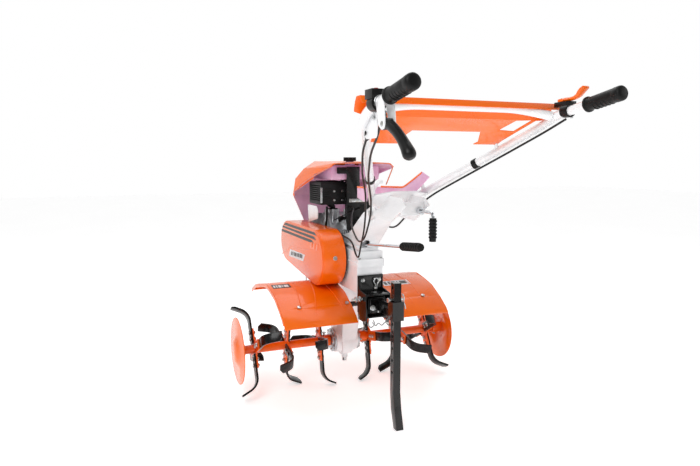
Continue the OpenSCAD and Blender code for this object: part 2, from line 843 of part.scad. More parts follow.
module handlebar_frame() {
  color(white) placed() {
    both_sides() {
      tube_run(arm_path(), bar_d, bar_wall);
      arm_frame() {
        for (s = [148, 400]) translate([arm_x0 + arm_spread * s + 15, -s, -4]) cube([9, 26, 3],
            center = true);
      }
    }
    difference() {
      bar_x(bar_d, -163, 163, cross_y, cross_z);
      bar_x(bar_d - 2 * bar_wall, -155, 155, cross_y, cross_z);
    }
    both_sides() {
      rod([161, cross_y, cross_z], [grip_x - 13.2, cross_y - 18, cross_z - 18], bar_d - 0.2);
      translate([163, cross_y, cross_z]) rotate([23, 37, 11]) sphere(d = bar_d + 0.4);
    }
    along_x(-262, -258.5) polygon([[-790, 958], [-795, 925], [-862, 925], [-870, 992], [-850, 980]]);
    for (x = [-289, -264]) along_x(x, x + 3) difference() {
      polygon([[-915, 1002], [-955, 1008], [-962, 944], [-948, 934], [-930, 945]]);
      translate([-948, 948]) circle(r = 4 + run_fit);
    }
  }
}

module grips() {
  color(rubber) placed() both_sides() {
    v = unit(grip_front - grip_end);
    translate(grip_end) rotate([90 + atan2(v[2], v[1]), 0, 0]) mirror([0, 0, 1])
      difference() {
        union() {
          cylinder(h = grip_l, d = grip_d - 3);
          for (k = [0 : 9]) translate([0, 0, 12 + 9 * k]) cylinder(h = 5, d = grip_d);
          cylinder(h = 4, d = grip_d);
          translate([0, 0, grip_l - 6]) cylinder(h = 6, d = grip_d + 2);
        }
        translate([0, 0, 4]) cylinder(h = grip_l, d = bar_d + 0.8);
      }
  }
}
module dash_panel() {
  color(orange) placed() difference() {
    along_x(-292, 292) strip([[-690, 916], [-795, 979], [-805, 1008], [-814, 1020], [-836, 1020], [-847,
        1004]], 2.5);
    linear_extrude(1200) polygon([[-110, -680], [-128, -700], [-105, -745], [105, -745], [128, -700],
        [110, -680]]);
    both_sides() linear_extrude(1200) polygon([[196, -680], [205, -710], [250, -795], [300, -800], [310,
        -680]]);
    linear_extrude(1200) polygon([[158, -752], [186, -793], [238, -797], [212, -748]]);
  }
}

// Upright plastic sides over the handlebar bracket, joined across the front.
module rear_shroud() {
  color(orange) placed() {
    along_x(43.5, 46) polygon([
      [-244, 778], [-413, 783], [-470, 806], [-536, 834], [-578, 819.9], [-396, 714.5],
      [-372, 726], [-342, 733], [-300, 732], [-244, 742]]);
    along_x(-46, -43.5) polygon([
      [-244, 778], [-318, 780], [-330, 752], [-322, 733], [-300, 732], [-244, 742]]);
    block([-46, -246.5, 742], [46, -244, 778]);
  }
}

module clamp_crank() {
  color(steel) placed() {
    swept(eased([[20, -590, 719.5], [20, -645, 719.5], [20, -645, 642]], 16, 5), 5, 16);
    bar_y(10, -591, -540, 20, 719.5);
    bar_y(20, -580, -563, 20, 719.5);
  }
}

module rib_grip(d, l, ribs) {
  difference() {
    union() {
      cylinder(h = l, d = d - 4);
      for (k = [0 : ribs - 1]) translate([0, 0, 6 + k * (l - 12) / ribs]) cylinder(h = 5, d = d);
    }
    translate([0, 0, -1]) cylinder(h = l - 2, d = 10.4);
  }
}

module clamp_crank_grip() {
  color(rubber) placed() translate([20, -645, 704]) mirror([0, 0, 1]) rib_grip(24, 68, 6);
}

module clutch_lever() {
  color(black) placed() {
    along_x(-285.5, -264.5) {
      translate([-948, 948]) circle(r = 13);
      polygon([[-940, 958], [-958, 957], [-1000, 934], [-1055, 892], [-1044, 872], [-990, 912], [-948,
          935], [-938, 941]]);
      translate([-1050, 882]) circle(r = 12);
    }
    bar_x(8, -291, -259, -948, 948);
  }
}

module switch_box() {
  color(black) placed() difference() {
    union() {
      block([-294, -908, 1006], [-256, -868, 1028]);
      bar_y(38, -906, -876, -275, 997);
    }
    mirror([1, 0, 0]) swept(arm_path(), bar_d / 2 + 0.4, 24);
    translate([-grip_x, -888, 1020]) cylinder(h = 20, d = 10.8);
  }
}

module kill_button() {
  color("#d01818") placed() translate([-grip_x, -888, 1022.5]) cylinder(h = 9, d = 10);
}

module throttle_base() {
  color(black) placed() difference() {
    union() {
      bar_y(34, -900, -876, grip_x - 1, 997);
      block([grip_x - 12, -905, 1008], [grip_x + 12, -850, 1021]);
    }
    swept(arm_path(), bar_d / 2 + 0.4, 24);
  }
}

module throttle_lever() {
  color(orange) placed() {
    translate([grip_x, -868, 1021.5]) cylinder(h = 7, d = 26);
    swept(eased([[grip_x, -868, 1029], [grip_x, -925, 1032], [grip_x, -945, 1046], [grip_x, -962, 1060]],
        14, 4), 7, 12);
  }
}

module gear_lever() {
  color(steel) placed() gear_axis() translate([0, 0, -12]) cylinder(h = 430, d = 10);
}

module gear_lever_grip() {
  color(rubber) placed() gear_axis() translate([0, 0, 310]) rib_grip(27, 115, 10);
}

module cables() {
  color(rubber) placed() {
    swept(eased([
      [-255.2, -797, 928], [-243, -740, 893], [-192, -620, 834], [-128, -500, 772], [-100, -440, 716],
      [-80, -380, 640], [-70, -330, 585], [-64, -300, 540], [-60, -265, 545], [-57, -225, 590],
      [-55.6, -110, 600], [-55.6, 20, 584]],
      40, 4), 3, 8);
    swept(eased([
      [-262, -888, 979.8], [-250, -852, 934], [-228, -755, 886], [-176, -625, 820], [-112, -505, 754],
          [-88, -450, 696],
      [-78, -380, 615], [-74, -320, 596], [-66, -240, 640], [-20, -130, 676], [24, -50, 690], [24, -0.3,
          690]],
      40, 4), 3, 8);
    swept(eased([
      [276, -882, 976.6], [262, -815, 944], [210, -705, 882], [150, -590, 816], [100, -500, 762], [64,
          -400, 690],
      [58, -330, 640], [62, -230, 640], [84, -60, 650], [80, 60, 636], [80, 99.7, 636]],
      40, 4), 3, 8);
  }
}

module cable_clips() {
  color(rubber) placed() {
    for (v = [[-1, 225], [1, 316]]) {
      p = arm_point(v[1], v[0] * (arm_x0 + arm_spread * v[1]));
      q = arm_point(v[1] + 14, v[0] * (arm_x0 + arm_spread * (v[1] + 14)));
      difference() {
        swept([p, q], bar_d / 2 + 2.4, 20);
        swept([p + (p - q), q + (q - p)], bar_d / 2 + 0.4, 20);
      }
    }
  }
}

// ---------- hitch and drag bar ----------

hitch_pin_y = -284;

module hitch_bracket() {
  color(black) placed() difference() {
    union() {
      block([-48, -257, 340], [48, -251.2, 470]);
      block([-34, -300, 402], [34, -257, 408]);
      block([-34, -300, 340], [34, -257, 346]);
    }
    translate([0, hitch_pin_y, 330]) cylinder(h = 90, d = 12.2);
    for (x = [-31, 31]) bar_y(8.6, -260, -245, x, 453);
  }
}

// The cross pin stands through the drag bar and rests on top of its sleeve.
pin_z = drag_top_h - hole_pitch - 15;

module drag_bar_pin() {
  color(steel) placed() {
    bar_x(9.6, -27, 24, -drag_back, pin_z);
    bar_x(15, -30, -26, -drag_back, pin_z);
    translate([21.9, -drag_back, pin_z - 12]) cylinder(h = 30, d = 2);
  }
}

module hitch_box() {
  color(black) placed() difference() {
    union() {
      block([-33, -312, 346.5], [33, -264.5, 401.5]);
      block([5, -drag_back + drag_side / 2 + slip_fit + 3, 352], [15, -300, 398]);
      block([-20, -drag_back - 19, 358], [20, -drag_back + 19, pin_z - 5]);
    }
    translate([0, hitch_pin_y, 330]) cylinder(h = 90, d = 12 + 2 * run_fit);
    translate([-drag_side / 2 - slip_fit, -drag_back - drag_side / 2 - slip_fit, 340])
      cube([drag_side + 2 * slip_fit, drag_side + 2 * slip_fit, 90]);
  }
}

module drag_bar() {
  color(black) placed() difference() {
    union() {
      along_x(-drag_side / 2, drag_side / 2) polygon([
        [-drag_back - drag_side / 2, drag_top_h], [-drag_back + drag_side / 2, drag_top_h],
        [-drag_back + drag_side / 2, 120], [-drag_back + 6, 60], [-drag_back - 14, 0],
        [-drag_back - 38, 0], [-drag_back - 20, 70], [-drag_back - drag_side / 2, 120]]);
    }
    for (k = [0 : 7]) {
      bar_x(hole_d, -30, 30, -drag_back, drag_top_h - 15 - hole_pitch * k);
    }
  }
}

module fixing_bolts() {
  color(steel) placed() {
    translate([0, hitch_pin_y, 408]) hex_bolt(12, 19, 7.5, 74);
    translate([0, hitch_pin_y, 330]) cylinder(h = 9.8, d = 19 / cos(30), $fn = 6);
    for (x = [-41, 41]) for (y = [-256.6, 66]) {
      translate([x, y, seam_z + 14]) hex_bolt(5, 8, 4, 26);
    }
    for (x = [-244, -66, 66, 244]) translate([x, -196, 360.8]) rotate([stay_tilt, 0, 0]) hex_bolt(8,
        m8_head, m8_head_h, 20);
    for (x = [-31, 31]) translate([x, -257, 453]) rotate([90, 0, 0]) hex_bolt(8, m8_head, m8_head_h, 5.5);
    for (x = [-60, 60]) for (y = [205, 330]) {
      translate([engine_x + x, y, 404]) rotate([180, 0, 0]) hex_bolt(8, m8_head, m8_head_h, 20);
    }
  }
}

gearbox_housing();
gearbox_top_cover();
bearing_caps();
drain_plug();
drive_chain();
output_shaft();
input_shaft();
rotor_tubes();
tines_inner();
tines_middle();
tines_outer();
tine_bolts();
side_discs();
rotor_pins();
fender_left();
fender_right();
fender_stays();
belt_cover();
belt_backplate();
engine_pulley();
input_pulley();
drive_belt();
tension_arm();
idler_pulley();
engine_frame();
crankcase();
crankshaft();
cylinder_head();
spark_plug_cap();
muffler();
carburettor();
recoil_housing();
starter_handle();
fuel_tank();
fuel_cap();
tank_bracket();
bonnet();
rear_shroud();
handlebar_column();
handlebar_pivot_bolt();
handlebar_bracket();
handlebar_frame();
grips();
dash_panel();
clamp_crank();
clamp_crank_grip();
clutch_lever();
switch_box();
kill_button();
throttle_base();
throttle_lever();
gear_lever();
gear_lever_grip();
cables();
cable_clips();
hitch_bracket();
hitch_box();
drag_bar();
drag_bar_pin();
fixing_bolts();
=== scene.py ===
"""Finished look of a petrol tiller: materials, fine pieces, floor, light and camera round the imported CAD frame."""

import json
import logging
import math
from collections.abc import Callable, Iterable, Iterator, Sequence
from contextlib import contextmanager
from dataclasses import dataclass, field
from enum import Enum
from typing import Any

import bmesh
import bpy
from mathutils import Euler, Matrix, Vector

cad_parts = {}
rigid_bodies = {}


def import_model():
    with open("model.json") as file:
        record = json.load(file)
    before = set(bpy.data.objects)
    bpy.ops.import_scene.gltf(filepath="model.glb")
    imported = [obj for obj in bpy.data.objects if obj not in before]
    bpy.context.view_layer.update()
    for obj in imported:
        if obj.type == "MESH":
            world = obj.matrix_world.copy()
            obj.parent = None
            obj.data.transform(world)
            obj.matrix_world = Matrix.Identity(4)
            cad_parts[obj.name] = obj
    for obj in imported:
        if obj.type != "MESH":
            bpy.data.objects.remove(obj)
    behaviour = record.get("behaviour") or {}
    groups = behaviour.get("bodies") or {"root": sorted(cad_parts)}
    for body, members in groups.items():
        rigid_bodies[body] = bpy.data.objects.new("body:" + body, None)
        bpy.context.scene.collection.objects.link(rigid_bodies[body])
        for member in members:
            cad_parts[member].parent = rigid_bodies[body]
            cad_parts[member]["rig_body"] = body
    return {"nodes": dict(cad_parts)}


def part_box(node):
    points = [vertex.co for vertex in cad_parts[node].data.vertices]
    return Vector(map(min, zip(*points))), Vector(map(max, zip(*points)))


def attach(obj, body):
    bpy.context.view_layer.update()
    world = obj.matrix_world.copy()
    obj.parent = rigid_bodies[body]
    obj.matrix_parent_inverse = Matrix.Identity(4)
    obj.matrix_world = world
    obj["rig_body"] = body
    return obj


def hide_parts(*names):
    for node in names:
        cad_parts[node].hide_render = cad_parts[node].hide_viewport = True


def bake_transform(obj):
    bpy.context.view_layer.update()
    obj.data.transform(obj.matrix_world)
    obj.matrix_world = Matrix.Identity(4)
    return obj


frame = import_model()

logging.basicConfig(level=logging.INFO, format="%(message)s")
LOG = logging.getLogger("tiller")

MM = 0.001
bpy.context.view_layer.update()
AXLE = (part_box("output_shaft")[0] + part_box("output_shaft")[1]) / 2
Point = Sequence[float]


def at(x: float, y: float, z: float) -> Vector:
    """Gives a place measured from the rotor axle's ground point.

    Args:
        x: Millimetres to the operator's right.
        y: Millimetres forwards of the rotor axle.
        z: Millimetres above the ground.

    Returns:
        The same place in metres in the shared frame.
    """
    return Vector((x * MM, y * MM + AXLE.y, z * MM))


# ---------- finishes ----------


def linear(code: str) -> tuple[float, float, float, float]:
    """Turns an sRGB hex code to linear colour.

    Args:
        code: Six hex digits after a hash.

    Returns:
        Red, green, blue and a full alpha.
    """
    parts = [int(code[i : i + 2], 16) / 255 for i in (1, 3, 5)]
    return tuple(c / 12.92 if c <= 0.04045 else ((c + 0.055) / 1.055) ** 2.4 for c in parts) + (1.0,)


def put(
    tree: bpy.types.NodeTree, kind: str, sockets: dict[Any, Any] | None = None, **settings: Any
) -> bpy.types.Node:
    """Adds a shader node with its settings and links.

    Args:
        tree: The node tree that takes it.
        kind: The node's type name.
        sockets: A value or an output socket for each named input.
        **settings: Plain properties of the node.

    Returns:
        The new node.
    """
    node = tree.nodes.new(kind)
    for key, value in settings.items():
        setattr(node, key, value)
    for key, value in (sockets or {}).items():
        if isinstance(value, bpy.types.NodeSocket):
            tree.links.new(value, node.inputs[key])
        else:
            node.inputs[key].default_value = value
    return node


class Grain(Enum):
    """How the surface of a finish is broken up, as the noise's stretch along each axis."""

    EVEN = (1.0, 1.0, 1.0)
    ALONG_X = (0.04, 1.0, 1.0)


@dataclass(frozen=True)
class Finish:
    """One real material with the way its surface was made.

    Grain and mottle sizes are in millimetres on the object.
    """

    name: str
    colour: str
    second: str
    roughness: float = 0.4
    rough_spread: float = 0.08
    metallic: float = 0.0
    ior: float = 1.5
    coat: float = 0.0
    coat_roughness: float = 0.08
    subsurface: float = 0.0
    mottle_mm: float = 60.0
    grain_mm: float = 1.5
    grain_height_mm: float = 0.02
    grain: Grain = Grain.EVEN
    dust: float = 0.0
    glow: float = 0.0

    def build(self) -> bpy.types.Material:
        """Makes the node material.

        Returns:
            The material, made once for each finish.
        """
        if self.name in bpy.data.materials:
            return bpy.data.materials[self.name]
        material = bpy.data.materials.new(self.name)
        material.use_nodes = True
        tree = material.node_tree
        tree.nodes.clear()
        place = put(tree, "ShaderNodeTexCoord").outputs["Object"]
        stretched = put(tree, "ShaderNodeMapping", {"Vector": place, "Scale": self.grain.value}).outputs[0]
        mottle = put(
            tree, "ShaderNodeTexNoise",
            {"Vector": place, "Scale": 1 / (self.mottle_mm * MM), "Detail": 4.0, "Roughness": 0.55},
        ).outputs["Fac"]
        fine = put(
            tree, "ShaderNodeTexNoise",
            {"Vector": stretched, "Scale": 1 / (self.grain_mm * MM), "Detail": 3.0, "Roughness": 0.6},
        ).outputs["Fac"]
        spread = put(
            tree, "ShaderNodeMapRange",
            {"Value": mottle, "From Min": 0.38, "From Max": 0.66, "To Min": 0.0, "To Max": 1.0},
        ).outputs[0]
        tint = put(
            tree, "ShaderNodeMix",
            {"Factor": spread, "A": linear(self.colour), "B": linear(self.second)},
            data_type="RGBA",
        )
        tint_out = self._dusted(tree, place, tint.outputs[2])
        both = put(tree, "ShaderNodeMath", {0: mottle, 1: fine}, operation="ADD").outputs[0]
        rough = put(
            tree, "ShaderNodeMapRange",
            {"Value": both, "From Min": 0.7, "From Max": 1.3,
             "To Min": max(0.02, self.roughness - self.rough_spread),
             "To Max": min(1.0, self.roughness + self.rough_spread)},
        ).outputs[0]
        bump = put(
            tree, "ShaderNodeBump",
            {"Height": fine, "Distance": self.grain_height_mm * MM, "Strength": 1.0},
        ).outputs[0]
        shader = put(
            tree, "ShaderNodeBsdfPrincipled",
            {"Base Color": tint_out, "Roughness": rough, "Normal": bump, "Metallic": self.metallic,
             "IOR": self.ior, "Coat Weight": self.coat, "Coat Roughness": self.coat_roughness,
             "Subsurface Weight": self.subsurface, "Emission Strength": self.glow},
        )
        if self.subsurface:
            shader.inputs["Subsurface Radius"].default_value = (1.0, 0.5, 0.6)
            shader.inputs["Subsurface Scale"].default_value = 0.004
        put(tree, "ShaderNodeOutputMaterial", {"Surface": shader.outputs[0]})
        return material

    def _dusted(self, tree: bpy.types.NodeTree, place: Any, colour: Any) -> Any:
        """Mixes a thin film of pale workshop dust over the colour.

        Args:
            tree: The material's node tree.
            place: The object coordinates.
            colour: The colour socket under the dust.

        Returns:
            The colour socket with the dust on it.
        """
        if not self.dust:
            return colour
        patch = put(
            tree, "ShaderNodeTexNoise",
            {"Vector": place, "Scale": 1 / (18 * MM), "Detail": 6.0, "Roughness": 0.7},
        ).outputs["Fac"]
        much = put(
            tree, "ShaderNodeMapRange",
            {"Value": patch, "From Min": 0.5, "From Max": 0.8, "To Min": 0.0, "To Max": self.dust},
        ).outputs[0]
        mix = put(tree, "ShaderNodeMix", {"Factor": much, "A": colour, "B": linear("#a79c90")}, data_type="RGBA")
        return mix.outputs[2]


class Finishes(Enum):
    """Every finish on the machine."""

    # Powder coat on pressed steel: deep gloss with a soft orange-peel ripple that breaks up reflections.
    ORANGE_SHEET = Finish("Orange powder coat on pressed steel", "#ff6f02", "#fb6900", 0.24, 0.05, coat=0.3,
                          coat_roughness=0.05, mottle_mm=120, grain_mm=3.2, grain_height_mm=0.012, ior=1.42)
    # Powder coat on heavy bar and tube: the same colour, a little rougher where it is thick at the welds.
    ORANGE_STEEL = Finish("Orange powder coat on welded steel", "#fb6800", "#ee5d00", 0.32, 0.08, coat=0.2,
                          mottle_mm=30, grain_mm=2.4, grain_height_mm=0.03, dust=0.05, ior=1.42)
    # Orange ABS: coloured right through, moulded against a polished tool, so it is smooth with a soft glow.
    ORANGE_ABS = Finish("Orange ABS moulded glossy", "#ff7004", "#fc6a02", 0.24, 0.05, ior=1.42, coat=0.2,
                        subsurface=0.0, mottle_mm=90, grain_mm=5.0, grain_height_mm=0.01)
    # Unpainted inner face of the plastic covers, thinned by the light through the coloured shell.
    LILAC_PLASTIC = Finish("Lilac translucent ABS moulded matt", "#eec2dc", "#e3add0", 0.4, 0.08, ior=1.45,
                           subsurface=0.1, mottle_mm=70, grain_mm=1.6, grain_height_mm=0.02)
    # White enamel on cast and welded parts: bright, with a shallow ripple.
    WHITE_ENAMEL = Finish("White enamel on steel", "#fafafb", "#f2f3f5", 0.26, 0.06, coat=0.5, mottle_mm=80,
                          grain_mm=2.6, grain_height_mm=0.04, dust=0.0)
    # White enamel on the sand-cast gearbox: the casting's skin shows through the paint.
    WHITE_CASTING = Finish("White enamel on sand-cast aluminium", "#f8f8fa", "#eeeff1", 0.34, 0.08, coat=0.25,
                           mottle_mm=45, grain_mm=1.8, grain_height_mm=0.05, dust=0.02)
    # Black enamel on forged spring steel: satin, with scuffs from the rack.
    BLACK_FORGED = Finish("Black enamel on forged spring steel", "#060606", "#0c0c0c", 0.26, 0.12, coat=0.1,
                          mottle_mm=25, grain_mm=2.2, grain_height_mm=0.03, dust=0.04, ior=1.36)
    # Black powder coat on brackets: fine even texture.
    BLACK_STEEL = Finish("Black powder coat on welded steel", "#060606", "#0b0b0b", 0.28, 0.1, coat=0.1,
                         mottle_mm=30, grain_mm=1.4, grain_height_mm=0.02, dust=0.03, ior=1.36)
    # High-temperature silencer paint: flat black, a little greyer in random patches.
    BLACK_HEAT_PAINT = Finish("Black heat-proof paint on pressed steel", "#070707", "#161617", 0.55, 0.1,
                              mottle_mm=25, grain_mm=1.0, grain_height_mm=0.03, ior=1.38)
    # Black nylon fittings: fine spark-eroded texture from the mould.
    BLACK_NYLON = Finish("Black nylon moulded matt", "#070707", "#0c0c0c", 0.36, 0.1, ior=1.36, mottle_mm=25,
                         grain_mm=0.9, grain_height_mm=0.03)
    # Soft rubber: dull, with a bloom that greys it in patches.
    RUBBER = Finish("Black rubber moulded matt", "#060606", "#0b0b0b", 0.48, 0.12, ior=1.34, mottle_mm=20,
                    grain_mm=0.8, grain_height_mm=0.04, dust=0.0)
    # PVC cable sheath: smooth extruded skin with long soft highlights.
    PVC = Finish("Black PVC extruded sheath", "#0a0a0a", "#0f0f0f", 0.34, 0.08, ior=1.4, mottle_mm=12,
                 grain_mm=1.2, grain_height_mm=0.02)
    # Bright zinc plate with a clear passivate: grey metal, slightly blue and yellow in patches.
    ZINC = Finish("Bright zinc plated steel", "#c9ccd0", "#b9b8b0", 0.28, 0.1, metallic=1.0, mottle_mm=8,
                  grain_mm=0.8, grain_height_mm=0.02)
    # Chrome plate on bent rod: near mirror.
    CHROME = Finish("Chrome plated steel polished", "#dcdee1", "#cfd2d6", 0.12, 0.05, metallic=1.0, mottle_mm=30,
                    grain_mm=3.0, grain_height_mm=0.01)
    # Machined steel inside the drive: turning marks run round the shaft.
    MACHINED = Finish("Machined steel turned", "#b3b6ba", "#a4a7ab", 0.3, 0.08, metallic=1.0, mottle_mm=20,
                      grain_mm=0.9, grain_height_mm=0.02, grain=Grain.ALONG_X)
    # Die-cast aluminium: pale grey with a fine granular skin.
    ALUMINIUM = Finish("Die-cast aluminium as cast", "#c5c8cb", "#b4b7ba", 0.42, 0.1, metallic=0.9, mottle_mm=18,
                       grain_mm=1.0, grain_height_mm=0.06)
    # Thin moulded edge of the bonnet, where the orange skin is rolled over the paler core.
    SALMON_EDGE = Finish("Salmon ABS moulded edge", "#e8835f", "#dd7654", 0.35, 0.08, ior=1.54, subsurface=0.2,
                         mottle_mm=40, grain_mm=1.6, grain_height_mm=0.02)
    # Black enamel on the hitch: wet gloss over rolled steel.
    BLACK_GLOSS = Finish("Black gloss enamel on rolled steel", "#080808", "#060606", 0.22, 0.08, coat=0.3,
                         mottle_mm=30, grain_mm=2.5, grain_height_mm=0.02, dust=0.02, ior=1.4)
    # Red button moulded in ABS.
    RED_ABS = Finish("Red ABS moulded glossy", "#c3151a", "#b41015", 0.25, 0.05, ior=1.54, mottle_mm=8,
                     grain_mm=1.5, grain_height_mm=0.01)
    # Printed vinyl on the covers: flat black film.
    BLACK_VINYL = Finish("Black vinyl film printed", "#1a1512", "#211b17", 0.35, 0.06, mottle_mm=20,
                         grain_mm=2.0, grain_height_mm=0.01)
    # Pale printed label.
    PALE_VINYL = Finish("Pale vinyl film printed", "#e9e9ea", "#dedfe1", 0.3, 0.06, mottle_mm=20,
                        grain_mm=2.0, grain_height_mm=0.01)
    # Porcelain-white sealed floor paper.
    FLOOR = Finish("White studio paper", "#ffffff", "#fcfcfc", 0.85, 0.05, mottle_mm=600, grain_mm=8,
                   grain_height_mm=0.02, glow=0.46)

    def material(self) -> bpy.types.Material:
        """Gives the node material of this finish."""
        return self.value.build()


NODE_FINISH: dict[str, Finishes] = {
    "gearbox_housing": Finishes.WHITE_CASTING, "gearbox_top_cover": Finishes.WHITE_CASTING,
    "bearing_caps": Finishes.ALUMINIUM, "drain_plug": Finishes.ZINC, "drive_chain": Finishes.MACHINED,
    "output_shaft": Finishes.MACHINED, "input_shaft": Finishes.MACHINED, "rotor_tubes": Finishes.ORANGE_STEEL,
    "tines_inner": Finishes.BLACK_FORGED, "tines_middle": Finishes.BLACK_FORGED,
    "tines_outer": Finishes.BLACK_FORGED, "tine_bolts": Finishes.ZINC, "side_discs": Finishes.ORANGE_SHEET,
    "rotor_pins": Finishes.ZINC, "fender_left": Finishes.ORANGE_SHEET, "fender_right": Finishes.ORANGE_SHEET,
    "fender_stays": Finishes.BLACK_STEEL, "belt_cover": Finishes.ORANGE_SHEET,
    "belt_backplate": Finishes.BLACK_STEEL, "engine_pulley": Finishes.ALUMINIUM,
    "input_pulley": Finishes.ALUMINIUM, "drive_belt": Finishes.RUBBER, "tension_arm": Finishes.ZINC,
    "idler_pulley": Finishes.MACHINED, "engine_frame": Finishes.BLACK_STEEL, "crankcase": Finishes.ALUMINIUM,
    "crankshaft": Finishes.MACHINED, "cylinder_head": Finishes.ALUMINIUM, "spark_plug_cap": Finishes.RUBBER,
    "muffler": Finishes.BLACK_HEAT_PAINT, "carburettor": Finishes.BLACK_NYLON,
    "recoil_housing": Finishes.BLACK_NYLON, "starter_handle": Finishes.RUBBER,
    "fuel_tank": Finishes.LILAC_PLASTIC, "fuel_cap": Finishes.BLACK_NYLON, "tank_bracket": Finishes.BLACK_STEEL,
    "bonnet": Finishes.ORANGE_ABS, "rear_shroud": Finishes.ORANGE_ABS, "handlebar_column": Finishes.WHITE_CASTING,
    "handlebar_pivot_bolt": Finishes.ZINC, "handlebar_bracket": Finishes.WHITE_ENAMEL,
    "handlebar_frame": Finishes.WHITE_ENAMEL, "grips": Finishes.RUBBER, "dash_panel": Finishes.ORANGE_ABS,
    "clamp_crank": Finishes.CHROME, "clamp_crank_grip": Finishes.RUBBER, "clutch_lever": Finishes.BLACK_NYLON,
    "switch_box": Finishes.BLACK_NYLON, "kill_button": Finishes.RED_ABS, "throttle_base": Finishes.BLACK_NYLON,
    "throttle_lever": Finishes.ORANGE_ABS, "gear_lever": Finishes.CHROME, "gear_lever_grip": Finishes.RUBBER,
    "cables": Finishes.PVC, "cable_clips": Finishes.BLACK_NYLON, "hitch_bracket": Finishes.BLACK_STEEL,
    "hitch_box": Finishes.BLACK_STEEL, "drag_bar": Finishes.BLACK_STEEL, "drag_bar_pin": Finishes.ZINC,
    "fixing_bolts": Finishes.ZINC,
}


def dress_frame() -> None:
    """Gives every CAD node the material of the real part."""
    for name, node in frame["nodes"].items():
        finish = NODE_FINISH[name]
        if not node.material_slots:
            node.data.materials.append(finish.material())
        for slot in node.material_slots:
            slot.material = finish.material()
        LOG.info("dressed %s in %s", name, finish.value.name)


# ---------- studio ----------


@dataclass
class Studio:
    """Floor, soft light and camera."""

    eye: Point = (-853, -2135, 870)
    azimuth: float = 22.42
    down: float = 6.96
    lens: float = 30.71
    floor_half: float = 14.0
    front_level: float = 0.32

    def build(self) -> None:
        """Makes the floor, the lights and the camera."""
        self._floor()
        self._light("Key softbox", at(-1900, -1900, 2500), at(0, 0, 500), 1.5, 36)
        self._light("Fill softbox", at(2300, -2200, 1700), at(0, 0, 500), 1.2, 9)
        self._light("Top softbox", at(300, 500, 3000), at(0, 0, 500), 2.0, 20)
        bpy.context.scene.view_settings.view_transform = "Standard"
        self._backdrop()
        self._camera()
        LOG.info("studio: floor, three soft lights and camera")

    def _backdrop(self) -> None:
        """Surrounds the set with white paper that is bright behind the machine and dimmer in front of it."""
        world = bpy.data.worlds.new("Studio")
        bpy.context.scene.world = world
        world.use_nodes = True
        tree = world.node_tree
        place = put(tree, "ShaderNodeTexCoord", {})
        ahead = (math.sin(math.radians(self.azimuth)), math.cos(math.radians(self.azimuth)), 0.0)
        facing = put(tree, "ShaderNodeVectorMath", {0: place.outputs["Generated"], 1: ahead}, operation="DOT_PRODUCT")
        level = put(tree, "ShaderNodeMapRange", {"Value": facing.outputs["Value"], "From Min": 0.0, "From Max": 0.75,
                                                 "To Min": self.front_level, "To Max": 1.0})
        background = tree.nodes["Background"]
        background.inputs["Color"].default_value = (1, 1, 1, 1)
        tree.links.new(level.outputs["Result"], background.inputs["Strength"])

    def _floor(self) -> None:
        """Lays the pale floor."""
        clear_selection()
        bpy.ops.mesh.primitive_plane_add(size=2 * self.floor_half, location=(0, 0, -0.0005))
        floor = bpy.context.object
        floor.name = "studio_floor"
        floor.data.materials.append(Finishes.FLOOR.material())

    def _light(self, name: str, place: Vector, aim: Vector, size: float, power: float) -> None:
        """Hangs one soft light.

        Args:
            name: The light's name.
            place: Where it hangs.
            aim: The point that it faces.
            size: Side of the square softbox in metres.
            power: Power in watts.
        """
        lamp = bpy.data.lights.new(name, "AREA")
        lamp.size = size
        lamp.energy = power
        holder = bpy.data.objects.new(name, lamp)
        holder.location = place
        holder.rotation_euler = (aim - place).to_track_quat("-Z", "Y").to_euler()
        bpy.context.scene.collection.objects.link(holder)

    def _camera(self) -> None:
        """Sets the camera behind the machine on its left."""
        data = bpy.data.cameras.new("Camera")
        data.lens = self.lens
        data.sensor_width = 36
        camera = bpy.data.objects.new("Camera", data)
        camera.location = at(*self.eye)
        camera.rotation_euler = Euler((math.radians(90 - self.down), 0, math.radians(-self.azimuth)), "XYZ")
        bpy.context.scene.collection.objects.link(camera)
        bpy.context.scene.camera = camera


# ---------- bench: shared ways of working ----------


def clear_selection() -> None:
    """Leaves edit mode and selects nothing."""
    if bpy.context.object and bpy.context.object.mode != "OBJECT":
        bpy.ops.object.mode_set(mode="OBJECT")
    bpy.ops.object.select_all(action="DESELECT")


def take(piece: bpy.types.Object) -> bpy.types.Object:
    """Selects one piece alone and makes it active."""
    clear_selection()
    piece.select_set(True)
    bpy.context.view_layer.objects.active = piece
    return piece


@contextmanager
def editing(piece: bpy.types.Object) -> Iterator[None]:
    """Opens a piece in edit mode with nothing selected, and closes it after."""
    take(piece)
    bpy.ops.object.mode_set(mode="EDIT")
    bpy.ops.mesh.select_all(action="DESELECT")
    yield
    bpy.ops.object.mode_set(mode="OBJECT")


def slide(way: Vector) -> None:
    """Extrudes what is selected along a way."""
    bpy.ops.mesh.extrude_region_move(TRANSFORM_OT_translate={"value": tuple(way)})


def modify(piece: bpy.types.Object, kind: str, **settings: Any) -> bpy.types.Object:
    """Adds a modifier and applies it.

    Args:
        piece: The piece to change.
        kind: The modifier's type.
        **settings: Its settings.

    Returns:
        The piece.
    """
    take(piece)
    modifier = piece.modifiers.new(kind.title(), kind)
    for key, value in settings.items():
        setattr(modifier, key, value)
    bpy.ops.object.modifier_apply(modifier=modifier.name)
    return piece


